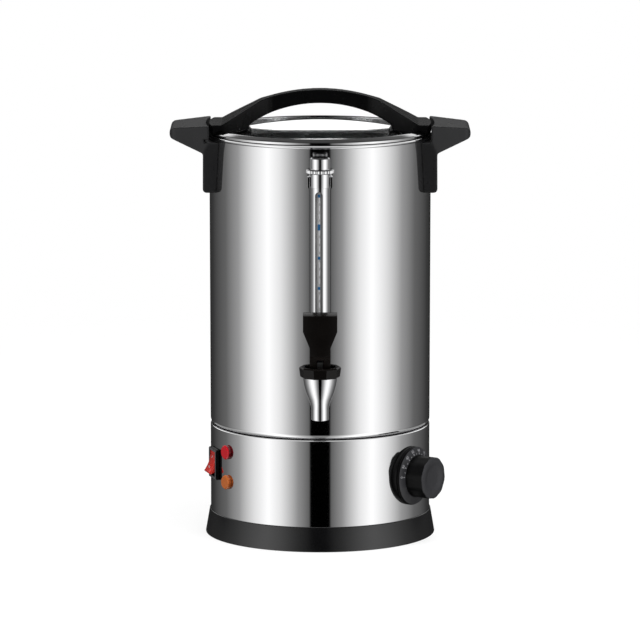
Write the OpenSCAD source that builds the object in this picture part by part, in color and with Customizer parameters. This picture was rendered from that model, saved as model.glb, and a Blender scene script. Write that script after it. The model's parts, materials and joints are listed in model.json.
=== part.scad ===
// Hot water urn: round steel tank on an electric base, with a tap, a level gauge and a glass lid.
// Millimetres. Z is up, the front is -Y, and the origin is on the tank's axis at the counter.

/* [Tank and base] */
// Outer diameter of the tank and of the steel skirt
body_d = 222; // [218:1:226]
// Thickness of the tank and skirt sheet
sheet = 0.8; // [0.6:0.1:1.0]
// Height of the tank's rolled rim, at its centre
rim_z = 405.5; // [404:0.5:407]
// Height of the seam between the tank and the skirt
seam_z = 112.4; // [111:0.2:114]
// Upper face of the tank's floor
floor_z = 132.2; // [130:0.2:136]
// Height of the black base ring's top edge
base_h = 24.7; // [23:0.1:26]
// How far the base ring flares beyond the skirt at the bottom
base_flare = 5.3; // [3:0.1:6]

/* [Lid] */
// Radius of the glass dome's outer surface
dome_r = 422; // [400:1:440]
// Height of the glass dome's top
dome_top = 419; // [418:0.5:420]
// Thickness of the glass
glass_t = 4; // [3:0.5:4]
// Height of the arch handle's top
arch_top = 451.7; // [449:0.1:452]
// Height of the arch handle's underside in the middle
arch_under = 438.2; // [436:0.2:440]
// Half width of the arch handle in the middle
arch_half = 9.4; // [8:0.2:11]
// Half width of the arch handle's feet
foot_half = 37; // [34:0.5:38]

/* [Side handles] */
// Overall width over the two grips
grip_span = 301.4; // [290:0.2:303]
// Width of a grip where it meets the tank
grip_w = 94; // [88:1:96]
// Width of a grip at its outer end
grip_end_w = 68; // [60:1:76]
// Height of a handle's lower end
leg_z = 350.8; // [348:0.2:356]

/* [Tap and gauge] */
// Distance from the tank's axis to the tap's valve
tap_y = 168; // [164:1:172]
// Height of the tap's shank
shank_z = 174; // [172:0.5:176]
// Height of the tap's outlet
outlet_z = 143.5; // [142:0.5:146]
// Height of the lever's pin
pin_z = 200; // [199:0.5:201]
// Distance from the tank's axis to the gauge tube
gauge_y = 133; // [131:0.5:135]
// Outer radius of the gauge's guard tube
guard_r = 9.3; // [9:0.1:11]
// Width of the slot in the guard tube
slot_w = 7.6; // [6:0.2:8]

/* [Controls] */
// Angle of the rocker switch, left of the front
switch_angle = 72.6; // [70:0.2:76]
// Height of the rocker switch
switch_z = 75.5; // [73:0.5:78]
// How far the rocker is tipped either way
rocker_tilt = 18; // [14:0.5:18]
// Angle of the two lamps, left of the front
lamp_angle = 57; // [55:0.5:58]
// Height of the upper lamp
heat_lamp_z = 91.5; // [90:0.5:94]
// Height of the lower lamp
warm_lamp_z = 61; // [58:0.5:64]
// Angle of the dial, right of the front
dial_angle = 55.5; // [50:0.5:58]
// Height of the dial
dial_z = 68.4; // [64:0.2:72]
// Radius of the dial's numbered skirt
dial_r = 29.5; // [26:0.5:31]
// Radius of the dial's knob
knob_r = 21.2; // [18:0.2:22]
// Height of the power inlet, at the rear
inlet_z = 64; // [60:1:68]

/* [Hidden] */
$fn = 96;
body_r = body_d / 2;
inner_r = body_r - sheet;
fit = 0.05;              // radial clearance of a running fit
touch_gap = 0.05;        // a piece laid against the curved wall
eps = 0.5;               // how far a cutter runs past what it cuts

// angles of the things on the wall, measured from +X
switch_a = -90 - switch_angle;
lamp_a = -90 - lamp_angle;
dial_a = -90 + dial_angle;
inlet_a = 90;

// lid ring and seals
rim_bead_r = 1.7;
ring_top = rim_z + 7.5;
ring_low = rim_z + 2.3;
ring_r = body_r + 0.2;
plug_r = 103.4;
lid_screw_x = 106.6;
lid_screw_r = 1.6;
dome_z = dome_top - dome_r;
glass_edge_z = 406.8;      // where the handle's feet end inside the ring

// arch handle
arch_outer_r = 177;
shoulder_x = 60;
shoulder_slope = 0.57;
arch_inner_r = 133;
foot_in = 71;
foot_end = 112;
foot_top = 419;
foot_arc_r = 169;

// side handles
leg_top = 402.4;
undercut_top = 405.8;
undercut_x = 116;
leg_x = 117.5;
grip_face_x = 114.6;
grip_arc_r = 283;
handle_screw_z = [365, 391];
handle_screw_r = 2.5;

// tap
deck_z = 191.5;
bonnet_z = 186;
shank_r = 10;
thread_r = 8;
stem_r = 3;
pin_r = 1.5;
cam_r = 8.1;
cam_shift = 3;
cup_top = 174.5;
nozzle_bore_r = 6;
nozzle_r = 8.6;

// gauge
guard_low = 190;
guard_top = 368.5;
slot_low = 198;
slot_high = 361.4;         // centre of the slot's round top
slot_turn = -8;            // the guard's slot looks a little to the left
collar_z = 382.6;
cap_z = 387;
cap_top = 398.7;
gauge_glass_r = 5.5;
sleeve_r = 10;

// controls
wall_x = body_r + touch_gap;
bezel_x = 114.4;
pivot_x = 111;
rocker_pin_r = 1.5;
skirt_x = 113.1;
collar_x = 112;
knob_x = 138;
shaft_r = 3;
thermo_x = 106.8;

// inside the base
shield_z = 106.5;
plate_z = floor_z - 1.2;
plate_t = 6;
element_r = 62;
element_a = [110, 70];   // where the element's two cold ends come down
cutout_y = 30;
sensor_a = dial_a - 8.5;
element_wire_r = 3.2;
stud_r = 3;
cover_z = 5;

// ---------- helpers ----------

// places children at an angle on the wall: X points outwards, Z up
module at_wall(angle, z) { translate([0, 0, z]) rotate([0, 0, angle]) children(); }
// a cylinder along +X from x0 to x1
module rod_x(r, x0, x1) { translate([x0, 0, 0]) rotate([0, 90, 0]) cylinder(r = r, h = x1 - x0); }
// a cylinder along +Y from y0 to y1
module rod_y(r, y0, y1) { translate([0, y0, 0]) rotate([-90, 0, 0]) cylinder(r = r, h = y1 - y0); }
// a cylinder from z0 to z1
module rod_z(r, z0, z1) { translate([0, 0, z0]) cylinder(r = r, h = z1 - z0); }
// a block along X from x0 to x1, centred on Y and Z
module block_x(x0, x1, wide, tall) {
    translate([x0, -wide / 2, -tall / 2]) cube([x1 - x0, wide, tall]);
}
// an outline in X and Z, given a depth along Y
module slab_y(depth) { translate([0, depth / 2, 0]) rotate([90, 0, 0]) linear_extrude(depth) children(); }
// an outline in Y and Z, given a width along X
module slab_x(wide) {
    translate([-wide / 2, 0, 0]) rotate([90, 0, 90]) linear_extrude(wide) children();
}
module ring_z(r_out, r_in, z0, z1) {
    difference() { rod_z(r_out, z0, z1); rod_z(r_in, z0 - eps, z1 + eps); }
}

function unit(v) = v / norm(v);
// points of the arc of radius r that rounds corner b between a and c
function corner(a, b, c, r, n = 5) = r == 0 ? [b] :
    let (u = unit(a - b), v = unit(c - b), half = acos(u * v) / 2,
         centre = b + unit(u + v) * r / sin(half),
         s = b + u * r / tan(half) - centre, e = b + v * r / tan(half) - centre,
         a0 = atan2(s[1], s[0]), turn = (atan2(e[1], e[0]) - a0 + 540) % 360 - 180)
    [for (i = [0:n]) centre + r * [cos(a0 + turn * i / n), sin(a0 + turn * i / n)]];
// an outline whose points are [x, y, corner radius]
function rounded(p) = let (n = len(p), q = [for (c = p) [c[0], c[1]]])
    [for (i = [0:n - 1]) each corner(q[(i + n - 1) % n], q[i], q[(i + 1) % n], p[i][2])];

// a Chaikin pass, which rounds off the corners of a path and keeps its ends
function eased(p) = [p[0], for (i = [0:len(p) - 2]) each [p[i] * 0.75 + p[i + 1] * 0.25,
    p[i] * 0.25 + p[i + 1] * 0.75], p[len(p) - 1]];
function along(p, i) = unit(p[min(i + 1, len(p) - 1)] - p[max(i - 1, 0)]);
function side_of(t) = unit(cross(t, abs(t[2]) > 0.8 ? [1, 0.2, 0] : [0.1, 0.05, 1]));
// a round tube swept along a path
module tube(path, r, sides = 8) {
    n = len(path);
    points = [for (i = [0:n - 1]) let (t = along(path, i), s = side_of(t), w = cross(t, s))
        for (k = [0:sides - 1]) path[i] + r * (s * cos(360 * k / sides) + w * sin(360 * k / sides))];
    walls = [for (i = [0:n - 2], k = [0:sides - 1]) let (m = (k + 1) % sides)
        [i * sides + k, (i + 1) * sides + k, (i + 1) * sides + m, i * sides + m]];
    polyhedron(points, concat(walls, [[for (k = [0:sides - 1]) k],
        [for (k = [sides - 1:-1:0]) (n - 1) * sides + k]]), convexity = 8);
}

// ---------- tank and base ----------

// sheet outline of the tank: turned in at the seam, plain wall, up to the rim
function tank_outline() = let (turn_r = 6, zc = seam_z + turn_r, rc = body_r - turn_r) concat(
    [for (i = [0:6]) [rc + turn_r * cos(-90 + 15 * i), zc + turn_r * sin(-90 + 15 * i)]],
    [[body_r, rim_z], [inner_r, rim_z], [inner_r, zc]],
    [for (i = [0:6]) [rc + (turn_r - sheet) * cos(-15 * i), zc + (turn_r - sheet) * sin(-15 * i)]],
    [[body_r - 9, seam_z + sheet], [body_r - 9, seam_z]]);

module tank_shell() color([0.78, 0.78, 0.78]) difference() {
    union() {
        rotate_extrude() polygon(tank_outline());
        rotate_extrude() translate([body_r - 0.1, rim_z]) circle(r = rim_bead_r, $fn = 32);
    }
    translate([0, 0, shank_z]) rod_y(thread_r + 0.2, -body_r - 5, -body_r + 15);
    translate([0, 0, guard_top + 5.5]) rod_y(4.2, -body_r - 5, -body_r + 15);
    for (z = handle_screw_z) translate([0, 0, z]) rod_x(handle_screw_r + 0.2, -120, 120);
}

// pressed floor with its edge turned down, welded into the tank
module tank_floor() color([0.7, 0.7, 0.7]) rotate_extrude() polygon([[0, plate_z],
    [inner_r - 2.2, plate_z], [inner_r - 1.4, plate_z - 0.5], [inner_r - 1.2, plate_z - 1.2],
    [inner_r - 1.2, plate_z - 9], [inner_r, plate_z - 9], [inner_r, plate_z - 0.7],
    [inner_r - 0.6, floor_z - 0.5], [inner_r - 1.8, floor_z], [0, floor_z]]);

// sheet outline of the skirt: its top edge is turned in over a soft shoulder
function skirt_outline() = let (turn_r = 3.5, zc = seam_z - turn_r, rc = body_r - turn_r) concat(
    [[body_r, 20]],
    [for (i = [0:6]) [rc + turn_r * cos(15 * i), zc + turn_r * sin(15 * i)]],
    [[body_r - 9, seam_z], [body_r - 9, seam_z - sheet]],
    [for (i = [6:-1:0]) [rc + (turn_r - sheet) * cos(15 * i), zc + (turn_r - sheet) * sin(15 * i)]],
    [[inner_r, 20]]);

module lower_skirt() color([0.78, 0.78, 0.78]) difference() {
    rotate_extrude() polygon(skirt_outline());
    at_wall(switch_a, switch_z) block_x(100, 118, 21.7, 27.7);
    for (z = [heat_lamp_z, warm_lamp_z]) at_wall(lamp_a, z) rod_x(5.2, 100, 118);
    at_wall(dial_a, dial_z) {
        rod_x(4.5, 100, 118);
        for (y = [-14, 14]) translate([0, y, 0]) rod_x(2.1, 100, 118);
    }
    at_wall(inlet_a, inlet_z) {
        block_x(100, 118, 20.2, 27.8);
        for (z = [-20, 20]) translate([0, 0, z]) rod_x(1.8, 100, 118);
    }
}

module base_ring() color([0.05, 0.05, 0.05]) rotate_extrude() polygon([[103, 1], [104, 1], [104, 3],
    [110, 3], [110, 0.3], [body_r + base_flare - 0.4, 0.3], [body_r + base_flare, 0.7],
    [body_r + 1.3, base_h - 0.9], [body_r + 0.7, base_h],
    [wall_x, base_h], [wall_x, 20], [107, 20], [107, 17.5], [110.2, 17.5],
    [body_r + base_flare - 3.2, 5], [103, 5]]);

module foot_ring() color([0.12, 0.12, 0.12]) ring_z(110, 104, 0, 3);

module bottom_cover() color([0.6, 0.6, 0.6]) difference() {
    rod_z(106, cover_z, cover_z + 1);
    rod_z(stud_r + 0.2, cover_z - eps, cover_z + 1 + eps);
    for (i = [0:5], k = [-2:2]) rotate([0, 0, 60 * i]) translate([60, k * 7 - 1.5, cover_z - eps])
        cube([22, 3, 2 + eps]);
}

// stud welded under the tank's floor, with a shoulder that carries the heat shield
module centre_stud() color([0.65, 0.65, 0.65]) {
    rod_z(5, shield_z + sheet, plate_z);
    rod_z(stud_r, 2, shield_z + sheet);
}
module stud_nuts() color([0.65, 0.65, 0.65]) for (z = [shield_z - 4, cover_z - 3.4])
    difference() {
        translate([0, 0, z]) cylinder(r = 6.4, h = z < 10 ? 3.4 : 4, $fn = 6);
        rod_z(stud_r, z - eps, z + 5);
    }

module heater_plate() color([0.72, 0.72, 0.74]) ring_z(85, 8, plate_z - plate_t, plate_z);

element_z = plate_z - plate_t - element_wire_r;
element_tab_z = 102;
cutout_tab_z = plate_z - plate_t - 15;
module heating_element() color([0.5, 0.48, 0.46]) {
    rotate([0, 0, element_a[0]]) rotate_extrude(angle = 320) translate([element_r, element_z])
        circle(r = element_wire_r, $fn = 24);
    for (a = element_a) rotate([0, 0, a]) translate([element_r, 0, 0]) {
        rod_z(element_wire_r, 112, element_z);
        translate([-0.4, -3.15, element_tab_z]) cube([0.8, 6.3, 10]);
    }
}

module heat_shield() color([0.66, 0.66, 0.66]) difference() {
    rod_z(98, shield_z, shield_z + sheet);
    rod_z(stud_r + 0.1, shield_z - eps, shield_z + 2);
    for (a = element_a) rotate([0, 0, a]) translate([element_r, 0, 0])
        rod_z(7, shield_z - eps, shield_z + 2);
    rotate([0, 0, sensor_a]) translate([70, 0, 0]) rod_z(5, shield_z - eps, shield_z + 2);
    translate([0, cutout_y, 0]) rod_z(12, shield_z - eps, shield_z + 2);
}

module thermal_cutout() color([0.2, 0.2, 0.2]) translate([0, cutout_y, 0]) {
    rod_z(8, plate_z - plate_t - 7, plate_z - plate_t);
    for (x = [-5, 5]) translate([x - 0.4, -3.15, cutout_tab_z]) cube([0.8, 6.3, 8]);
}

// ---------- side handles ----------

// side view of the right handle: X outwards, Z up
function grip_outline() = let (end_x = grip_span / 2) rounded([[98, leg_z, 0], [leg_x, leg_z, 4],
    [leg_x - 0.4, 391.2, 2], [end_x, 406, 4.5], [end_x, 415.9, 5], [98, 420.4, 0]]);
// top view, half of it either side of Y = 0
function grip_plan() = let (end_x = grip_span / 2, w = grip_w / 2, e = grip_end_w / 2) rounded(
    [[98, -w, 0], [112, -w, 6], [end_x, -e, 8], [end_x, e, 8], [112, w, 6], [98, w, 0]]);
function leg_front() = let (w = grip_w / 2) rounded([[-39.5, leg_z, 4], [39.5, leg_z, 4],
    [w, 402, 0], [w, 422, 0], [-w, 422, 0], [-w, 402, 0]]);

module handle() difference() {
    intersection() {
        slab_y(grip_w + 2) polygon(grip_outline());
        translate([0, 0, leg_z - 1]) linear_extrude(72) polygon(grip_plan());
        slab_x(320) polygon(leg_front());
    }
    rod_z(wall_x, leg_z - 2, leg_top, $fn = 160);
    translate([grip_face_x - grip_arc_r, 0, 0]) rod_z(grip_arc_r, leg_top, 423, $fn = 240);
    // channel for a lid lug, open at the rear of the right handle
    translate([90, -18, leg_top]) cube([undercut_x - 90, 80, undercut_top - leg_top]);
    for (z = handle_screw_z) translate([0, 0, z]) rod_x(handle_screw_r, 100, leg_x - 1.5);
}
module right_handle() color([0.06, 0.06, 0.06]) handle();
module left_handle() color([0.06, 0.06, 0.06]) rotate([0, 0, 180]) handle();

module handle_screws() color([0.75, 0.75, 0.75]) for (a = [0, 180], z = handle_screw_z)
    rotate([0, 0, a]) translate([0, 0, z]) {
        rod_x(handle_screw_r, 106, leg_x - 2.5);
        difference() {
            rod_x(5, 105.4, 108);
            rod_x(1.8, 105, 106.8, $fn = 6);
        }
    }
module handle_washers() color([0.2, 0.2, 0.2]) for (a = [0, 180], z = handle_screw_z)
    rotate([0, 0, a]) translate([0, 0, z]) difference() {
        rod_x(6.5, 108, 109.95);
        rod_x(handle_screw_r, 107, 111);
    }

// ---------- tap ----------

// radius of the bell at each height, from its top to the nozzle
bell = [[17, bonnet_z], [16.8, 183], [16.3, 179.5], [15.4, 175.5], [14.1, 171], [12.5, 166.6],
    [10.8, 162.6], [9.5, 159], [8.9, 156.8], [nozzle_r, 155], [nozzle_r, outlet_z]];
seat_z = 165;
chamber_r = 13.5;

module tap_body() color([0.8, 0.8, 0.8]) difference() {
    union() {
        translate([0, -tap_y, 0]) rotate_extrude()
            polygon(concat([[0, outlet_z], [0, bonnet_z]], bell));
        translate([0, 0, shank_z]) {
            rod_y(shank_r, -tap_y + 8, -body_r - 3.9);
            rod_y(14, -body_r - 4, -body_r - 1);
            rod_y(thread_r, -body_r - 1.1, -body_r + 13);
        }
        translate([0, -gauge_y, 0]) rod_z(10.4, shank_z, guard_low);
    }
    translate([0, -tap_y, 0]) {
        rod_z(nozzle_bore_r, outlet_z - eps, seat_z + eps);
        rotate_extrude() polygon([[0, seat_z], [nozzle_bore_r, seat_z], [chamber_r, 176],
            [chamber_r, bonnet_z + eps], [0, bonnet_z + eps]]);
    }
    translate([0, 0, shank_z]) rod_y(5, -tap_y + 12, -body_r + 14);
    translate([0, -gauge_y, 0]) rod_z(gauge_glass_r + fit, 180, guard_low + eps);
}

module tap_bonnet() color([0.05, 0.05, 0.05]) translate([0, -tap_y, 0]) difference() {
    union() {
        translate([0, 0, bonnet_z]) cylinder(r1 = 19.2, r2 = 20.6, h = 10.5, $fn = 10);
        rod_z(chamber_r - fit, 182, bonnet_z);
    }
    rod_z(15.8, deck_z, 200);
    rod_z(10.5, 180, deck_z - 3.5);
    rod_z(stem_r + fit, 180, 200);
}

module tap_gaskets() color([0.15, 0.15, 0.15]) translate([0, 0, shank_z])
    for (y = [[-body_r - 1, -body_r - touch_gap], [-109.4, -107.9]]) difference() {
        rod_y(13, y[0], y[1]);
        rod_y(thread_r + 0.1, y[0] - eps, y[1] + eps);
    }

module tap_nut() color([0.7, 0.7, 0.7]) translate([0, 0, shank_z]) difference() {
    translate([0, -107.9, 0]) rotate([-90, 0, 0]) cylinder(r = 13.5, h = 6, $fn = 6);
    rod_y(thread_r, -109, -101);
}

module valve_spring() color([0.7, 0.7, 0.7]) {
    turns = 4.5;
    low = cup_top + 0.75;
    high = deck_z - 3.5 - 0.75;
    steps = 72;
    tube([for (i = [0:steps]) let (a = 360 * turns * i / steps)
        [6.6 * cos(a), -tap_y + 6.6 * sin(a), low + (high - low) * i / steps]], 0.6, 6);
}

// stem with a flat eye for the lever's pin
module valve_stem() color([0.75, 0.75, 0.72]) translate([0, -tap_y, 0]) difference() {
    union() {
        rod_z(stem_r, 169, 194);
        translate([-2.9, -3, 192.5]) cube([5.8, 6, pin_z - 192.5]);
        translate([0, 0, pin_z]) rod_x(3, -2.9, 2.9);
    }
    translate([0, 0, pin_z]) rod_x(pin_r + fit, -4, 4);
}

// conical silicone cup that closes the seat
module valve_cup() color([0.8, 0.8, 0.76]) translate([0, -tap_y, 0]) difference() {
    rotate_extrude() polygon([[0, 166.2], [6.3, 166.2], [10.9, 173], [10.9, cup_top], [0, cup_top]]);
    rod_z(stem_r, 169, 176);
}

// front view of the lever, from its foot to the wide thumb pad
function lever_front() = [[-10.2, -12], [10.2, -12], [10.2, 15.5], [16.8, 32], [16.8, 51],
    [-16.8, 51], [-16.8, 32], [-10.2, 15.5]];
// side view: the front is -Y
function lever_side() = rounded([[-6.5, 0, 0], [5, 0, 0], [5, 22, 12], [2.5, 34, 12], [3.2, 49.8, 1.2],
    [-9.6, 47.8, 1.2], [-9, 30, 14], [-6.5, 16, 12]]);

module tap_lever() color([0.05, 0.04, 0.04]) translate([0, -tap_y, pin_z]) difference() {
    intersection() {
        slab_y(60) polygon(lever_front());
        union() {
            slab_x(40) polygon(lever_side());
            translate([0, -cam_shift, 0]) rod_x(cam_r, -10.2, 10.2);
        }
    }
    // slot for the stem's eye, open below and in front, so that the lever can lie flat
    translate([-3.3, -20, -12]) cube([6.6, 20, 12]);
    translate([-3.3, -20, -4]) cube([6.6, 24, 8]);
    translate([-3.3, -4, -12]) cube([6.6, 8, 12]);
    rod_x(pin_r, -11, 11);
}
module lever_pin() color([0.7, 0.7, 0.7]) translate([0, -tap_y, pin_z]) rod_x(pin_r, -9.8, 9.8);

// ---------- level gauge ----------

module gauge_glass() color([0.85, 0.9, 0.92, 0.5]) translate([0, -gauge_y, 0])
    ring_z(gauge_glass_r, 4.2, 181, collar_z + 3);

module gauge_guard() color([0.8, 0.8, 0.8]) translate([0, -gauge_y, 0]) difference() {
    ring_z(guard_r, guard_r - 0.9, guard_low, guard_top);
    rotate([0, 0, slot_turn]) {
        translate([-slot_w / 2, -15, slot_low]) cube([slot_w, 12, slot_high - slot_low]);
        translate([0, 0, slot_high]) rod_y(slot_w / 2, -15, -3);
    }
}

module gauge_sleeve() color([0.8, 0.8, 0.8]) difference() {
    union() {
        translate([0, -gauge_y, 0]) rod_z(sleeve_r, guard_top, collar_z);
        translate([0, 0, guard_top + 5.5]) rod_y(4, -gauge_y + 9, -102);
    }
    translate([0, -gauge_y, 0]) rod_z(gauge_glass_r + fit, guard_top - eps, collar_z + eps);
}

// strap with two ears that steadies the sleeve against the tank
module gauge_bracket() color([0.75, 0.75, 0.75]) translate([0, 0, guard_top]) difference() {
    union() {
        for (x = [-12.4, 10.3]) translate([x, -gauge_y - 4, 0]) cube([2.1, gauge_y - 112.2 + 4, 11]);
        translate([-12.4, -113.7, 0]) cube([24.8, 1.6, 11]);
        translate([0, 0, 5.5]) rod_y(7.5, -112.3, -111.1);
    }
    translate([0, 0, 5.5]) rod_y(4.1, -116, -108);
}

module gauge_collar() color([0.8, 0.8, 0.8]) translate([0, -gauge_y, 0]) difference() {
    rod_z(13.8, collar_z, cap_z);
    rod_z(8.4, collar_z + 3, cap_z + eps);
    rod_z(gauge_glass_r + fit, collar_z - eps, collar_z + 4);
    for (i = [0:29]) rotate([0, 0, 12 * i + 6]) translate([14.3, 0, 0])
        rod_z(0.85, collar_z - eps, cap_z + eps, $fn = 16);
}

module gauge_cap() color([0.8, 0.8, 0.8]) translate([0, -gauge_y, 0]) rotate_extrude() polygon([
    [0, cap_z], [sleeve_r, cap_z], [sleeve_r, cap_top - 2.2], [sleeve_r - 0.7, cap_top - 0.7],
    [sleeve_r - 2, cap_top], [0, cap_top]]);

module gauge_seals() color([0.1, 0.1, 0.1]) translate([0, -gauge_y, 0]) {
    ring_z(guard_r - 0.95, gauge_glass_r, guard_low, guard_low + 4);
    ring_z(8.4, gauge_glass_r + fit, collar_z + 3, cap_z);
}

module gauge_nut() color([0.7, 0.7, 0.7]) translate([0, 0, guard_top + 5.5]) difference() {
    translate([0, -109.6, 0]) rotate([-90, 0, 0]) cylinder(r = 8, h = 5, $fn = 6);
    rod_y(4, -111, -103);
}

// ---------- switch and lamps ----------

module switch_housing() color([0.16, 0.16, 0.17]) at_wall(switch_a, switch_z) difference() {
    union() {
        block_x(wall_x, bezel_x, 25.5, 31);
        block_x(92, wall_x, 21.5, 27.5);
    }
    block_x(99, bezel_x + 1, 19.2, 25.2);
    translate([pivot_x, 0, 0]) rotate([90, 0, 0]) cylinder(r = rocker_pin_r + fit, h = 20.9, center = true);
}
module switch_terminals() color([0.8, 0.65, 0.3]) at_wall(switch_a, switch_z)
    for (z = [-8, 0, 8]) translate([82, -3.15, z - 0.4]) cube([10, 6.3, 0.8]);

// side view of the rocker about its pivot, hollowed between its two tips
function rocker_outline() = let (tip_x = 6.2, tip_z = 10.8, sag = 2) concat(
    [[-4, -6], [-1.5, -12.3], [1.2, -12.4], [4, -11.8], [tip_x, -tip_z]],
    [for (i = [-3:3]) [tip_x - sag * (1 - pow(i / 4, 2)), tip_z * i / 4]],
    [[tip_x, tip_z], [4, 11.8], [1.2, 12.4], [-1.5, 12.3], [-4, 6]]);
module switch_rocker() color([0.8, 0.1, 0.08]) at_wall(switch_a, switch_z) translate([pivot_x, 0, 0])
    rotate([0, -rocker_tilt, 0]) {
        slab_y(18.4) polygon(rocker_outline());
        rotate([90, 0, 0]) cylinder(r = rocker_pin_r, h = 20.6, center = true);
    }

module lens(z) at_wall(lamp_a, z) {
    rod_x(7.2, wall_x, wall_x + 2.2, $fn = 12);
    translate([wall_x + 2.2, 0, 0]) rotate([0, 90, 0]) cylinder(r1 = 7.2, r2 = 5, h = 1.5, $fn = 12);
}
module heat_lamp_lens() color([0.8, 0.05, 0.05]) lens(heat_lamp_z);
module warm_lamp_lens() color([0.9, 0.4, 0.05]) lens(warm_lamp_z);
module lamp_bodies() color([0.85, 0.85, 0.8]) for (z = [heat_lamp_z, warm_lamp_z]) at_wall(lamp_a, z) {
    rod_x(5, 90, wall_x);
    for (y = [-2.5, 2.5]) translate([82, y - 0.4, -2.4]) cube([8, 0.8, 4.8]);
}
module lamp_clips() color([0.7, 0.7, 0.7]) for (z = [heat_lamp_z, warm_lamp_z]) at_wall(lamp_a, z)
    difference() {
        rod_x(7.6, 107.8, 109.8);
        rod_x(5, 107, 111);
    }

// ---------- thermostat and dial ----------

knob_flats = 10;
module dial_knob() color([0.08, 0.08, 0.09]) at_wall(dial_a, dial_z) difference() {
    union() {
        rotate([0, 90, 0]) rotate_extrude() polygon([[0, skirt_x], [dial_r - 0.3, skirt_x],
            [dial_r, skirt_x + 0.8], [dial_r - 0.7, skirt_x + 2.6], [dial_r - 8.3, skirt_x + 5.2],
            [0, skirt_x + 5.2]]);
        translate([skirt_x + 5, 0, 0]) rotate([0, 90, 0]) intersection() {
            cylinder(r = knob_r, h = knob_x - skirt_x - 5);
            cylinder(r = knob_r + 0.7, h = knob_x - skirt_x - 5, $fn = knob_flats);
        }
    }
    // shallow dish in the knob's face, with a flat bottom
    translate([knob_x - 1.6, 0, 0]) rotate([0, 90, 0]) cylinder(r1 = 10, r2 = 15, h = 1.7);
    rod_x(shaft_r, 110, 131);
}

// fixed collar behind the dial, whose back follows the wall and which the thermostat's screws hold
module dial_collar() color([0.06, 0.06, 0.06]) difference() {
    at_wall(dial_a, dial_z) difference() {
        rod_x(dial_r, 104, skirt_x - 0.4);
        rod_x(dial_r - 2.5, collar_x, skirt_x);
        rod_x(4.5, 103, skirt_x);
        for (y = [-14, 14]) translate([0, y, 0]) rod_x(2.1, 103, skirt_x);
    }
    rod_z(wall_x, dial_z - 35, dial_z + 35, $fn = 240);
}

module thermostat_shaft() color([0.75, 0.75, 0.75]) at_wall(dial_a, dial_z) rod_x(shaft_r, 96, 130);

module thermostat_body() color([0.85, 0.85, 0.82]) at_wall(dial_a, dial_z) difference() {
    union() {
        block_x(80, thermo_x - 0.1, 36, 34);
        for (z = [-9, 9]) translate([72, -3.15, z - 0.4]) cube([8, 6.3, 0.8]);
    }
    rod_x(shaft_r + fit, 94, 110);
    for (y = [-14, 14]) translate([0, y, 0]) rod_x(2.2, 100, 110);
}
module thermostat_plate() color([0.65, 0.65, 0.65]) at_wall(dial_a, dial_z) difference() {
    block_x(thermo_x - 0.1, thermo_x + 1.4, 40, 30);
    rod_x(4.5, 100, 112);
    for (y = [-14, 14]) translate([0, y, 0]) rod_x(1.95, 100, 112);
}
module thermostat_screws() color([0.75, 0.75, 0.75]) at_wall(dial_a, dial_z)
    for (y = [-14, 14]) translate([0, y, 0]) {
        rod_x(1.95, 102, collar_x);
        rod_x(3.2, collar_x, collar_x + 0.8);
    }

// sensor bulb under the heater plate, with its fine tube to the thermostat
function polar(r, a, z) = [r * cos(a), r * sin(a), z];
module sensor_bulb() color([0.72, 0.5, 0.35]) {
    bulb_z = plate_z - plate_t - 2.6;
    translate([0, -36, bulb_z]) rod_x(2.6, -30, 30);
    tube(eased(eased([[29.5, -36, bulb_z], [34, -36, bulb_z], [38, -38, 116], polar(70, sensor_a, 113),
        polar(70, sensor_a, 84), polar(70, sensor_a, dial_z),
        polar(80 / cos(dial_a - sensor_a), sensor_a, dial_z)])), 0.8);
}

// ---------- power inlet and wiring ----------

module power_inlet() color([0.05, 0.05, 0.05]) at_wall(inlet_a, inlet_z) difference() {
    union() {
        block_x(wall_x, wall_x + 2.5, 22, 50);
        block_x(90, wall_x, 20, 27.5);
    }
    block_x(96, wall_x + 4, 16.5, 24);
    for (z = [-20, 20]) translate([0, 0, z]) rod_x(1.6, 108, 116);
}
inlet_pin_at = [[-3, -7], [-3, 7], [3, 0]];
module inlet_pins() color([0.8, 0.7, 0.4]) at_wall(inlet_a, inlet_z) for (p = inlet_pin_at)
    translate([0, p[0], p[1]]) {
        block_x(96, 107, 2, 4);
        block_x(82, 90, 0.8, 4.8);
    }
module inlet_screws() color([0.7, 0.7, 0.7]) at_wall(inlet_a, inlet_z) for (z = [-20, 20])
    translate([0, 0, z]) {
        rod_x(1.6, 105, wall_x + 2.5);
        rod_x(3, wall_x + 2.5, wall_x + 4);
    }

earth_a = 130;
earth_z = 32;
module earth_screw() color([0.8, 0.65, 0.3]) at_wall(earth_a, earth_z) {
    rod_x(2, 98, inner_r);
    rod_x(4, 106.6, 108.6, $fn = 6);
}

// a wire from one terminal to another: inwards, down to a height, around, and up again
function wire(from, to, inset, low) = let (steps = 5, r0 = from[0] - inset, r1 = to[0] - inset)
    [polar(from[0], from[1], from[2]), polar(r0, from[1], from[2]), polar(r0, from[1], low),
        for (i = [1:steps - 1]) let (k = i / steps)
            polar(r0 + (r1 - r0) * k, from[1] + (to[1] - from[1]) * k, low),
        polar(r1, to[1], low), polar(r1, to[1], to[2]), polar(to[0], to[1], to[2])];
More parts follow.
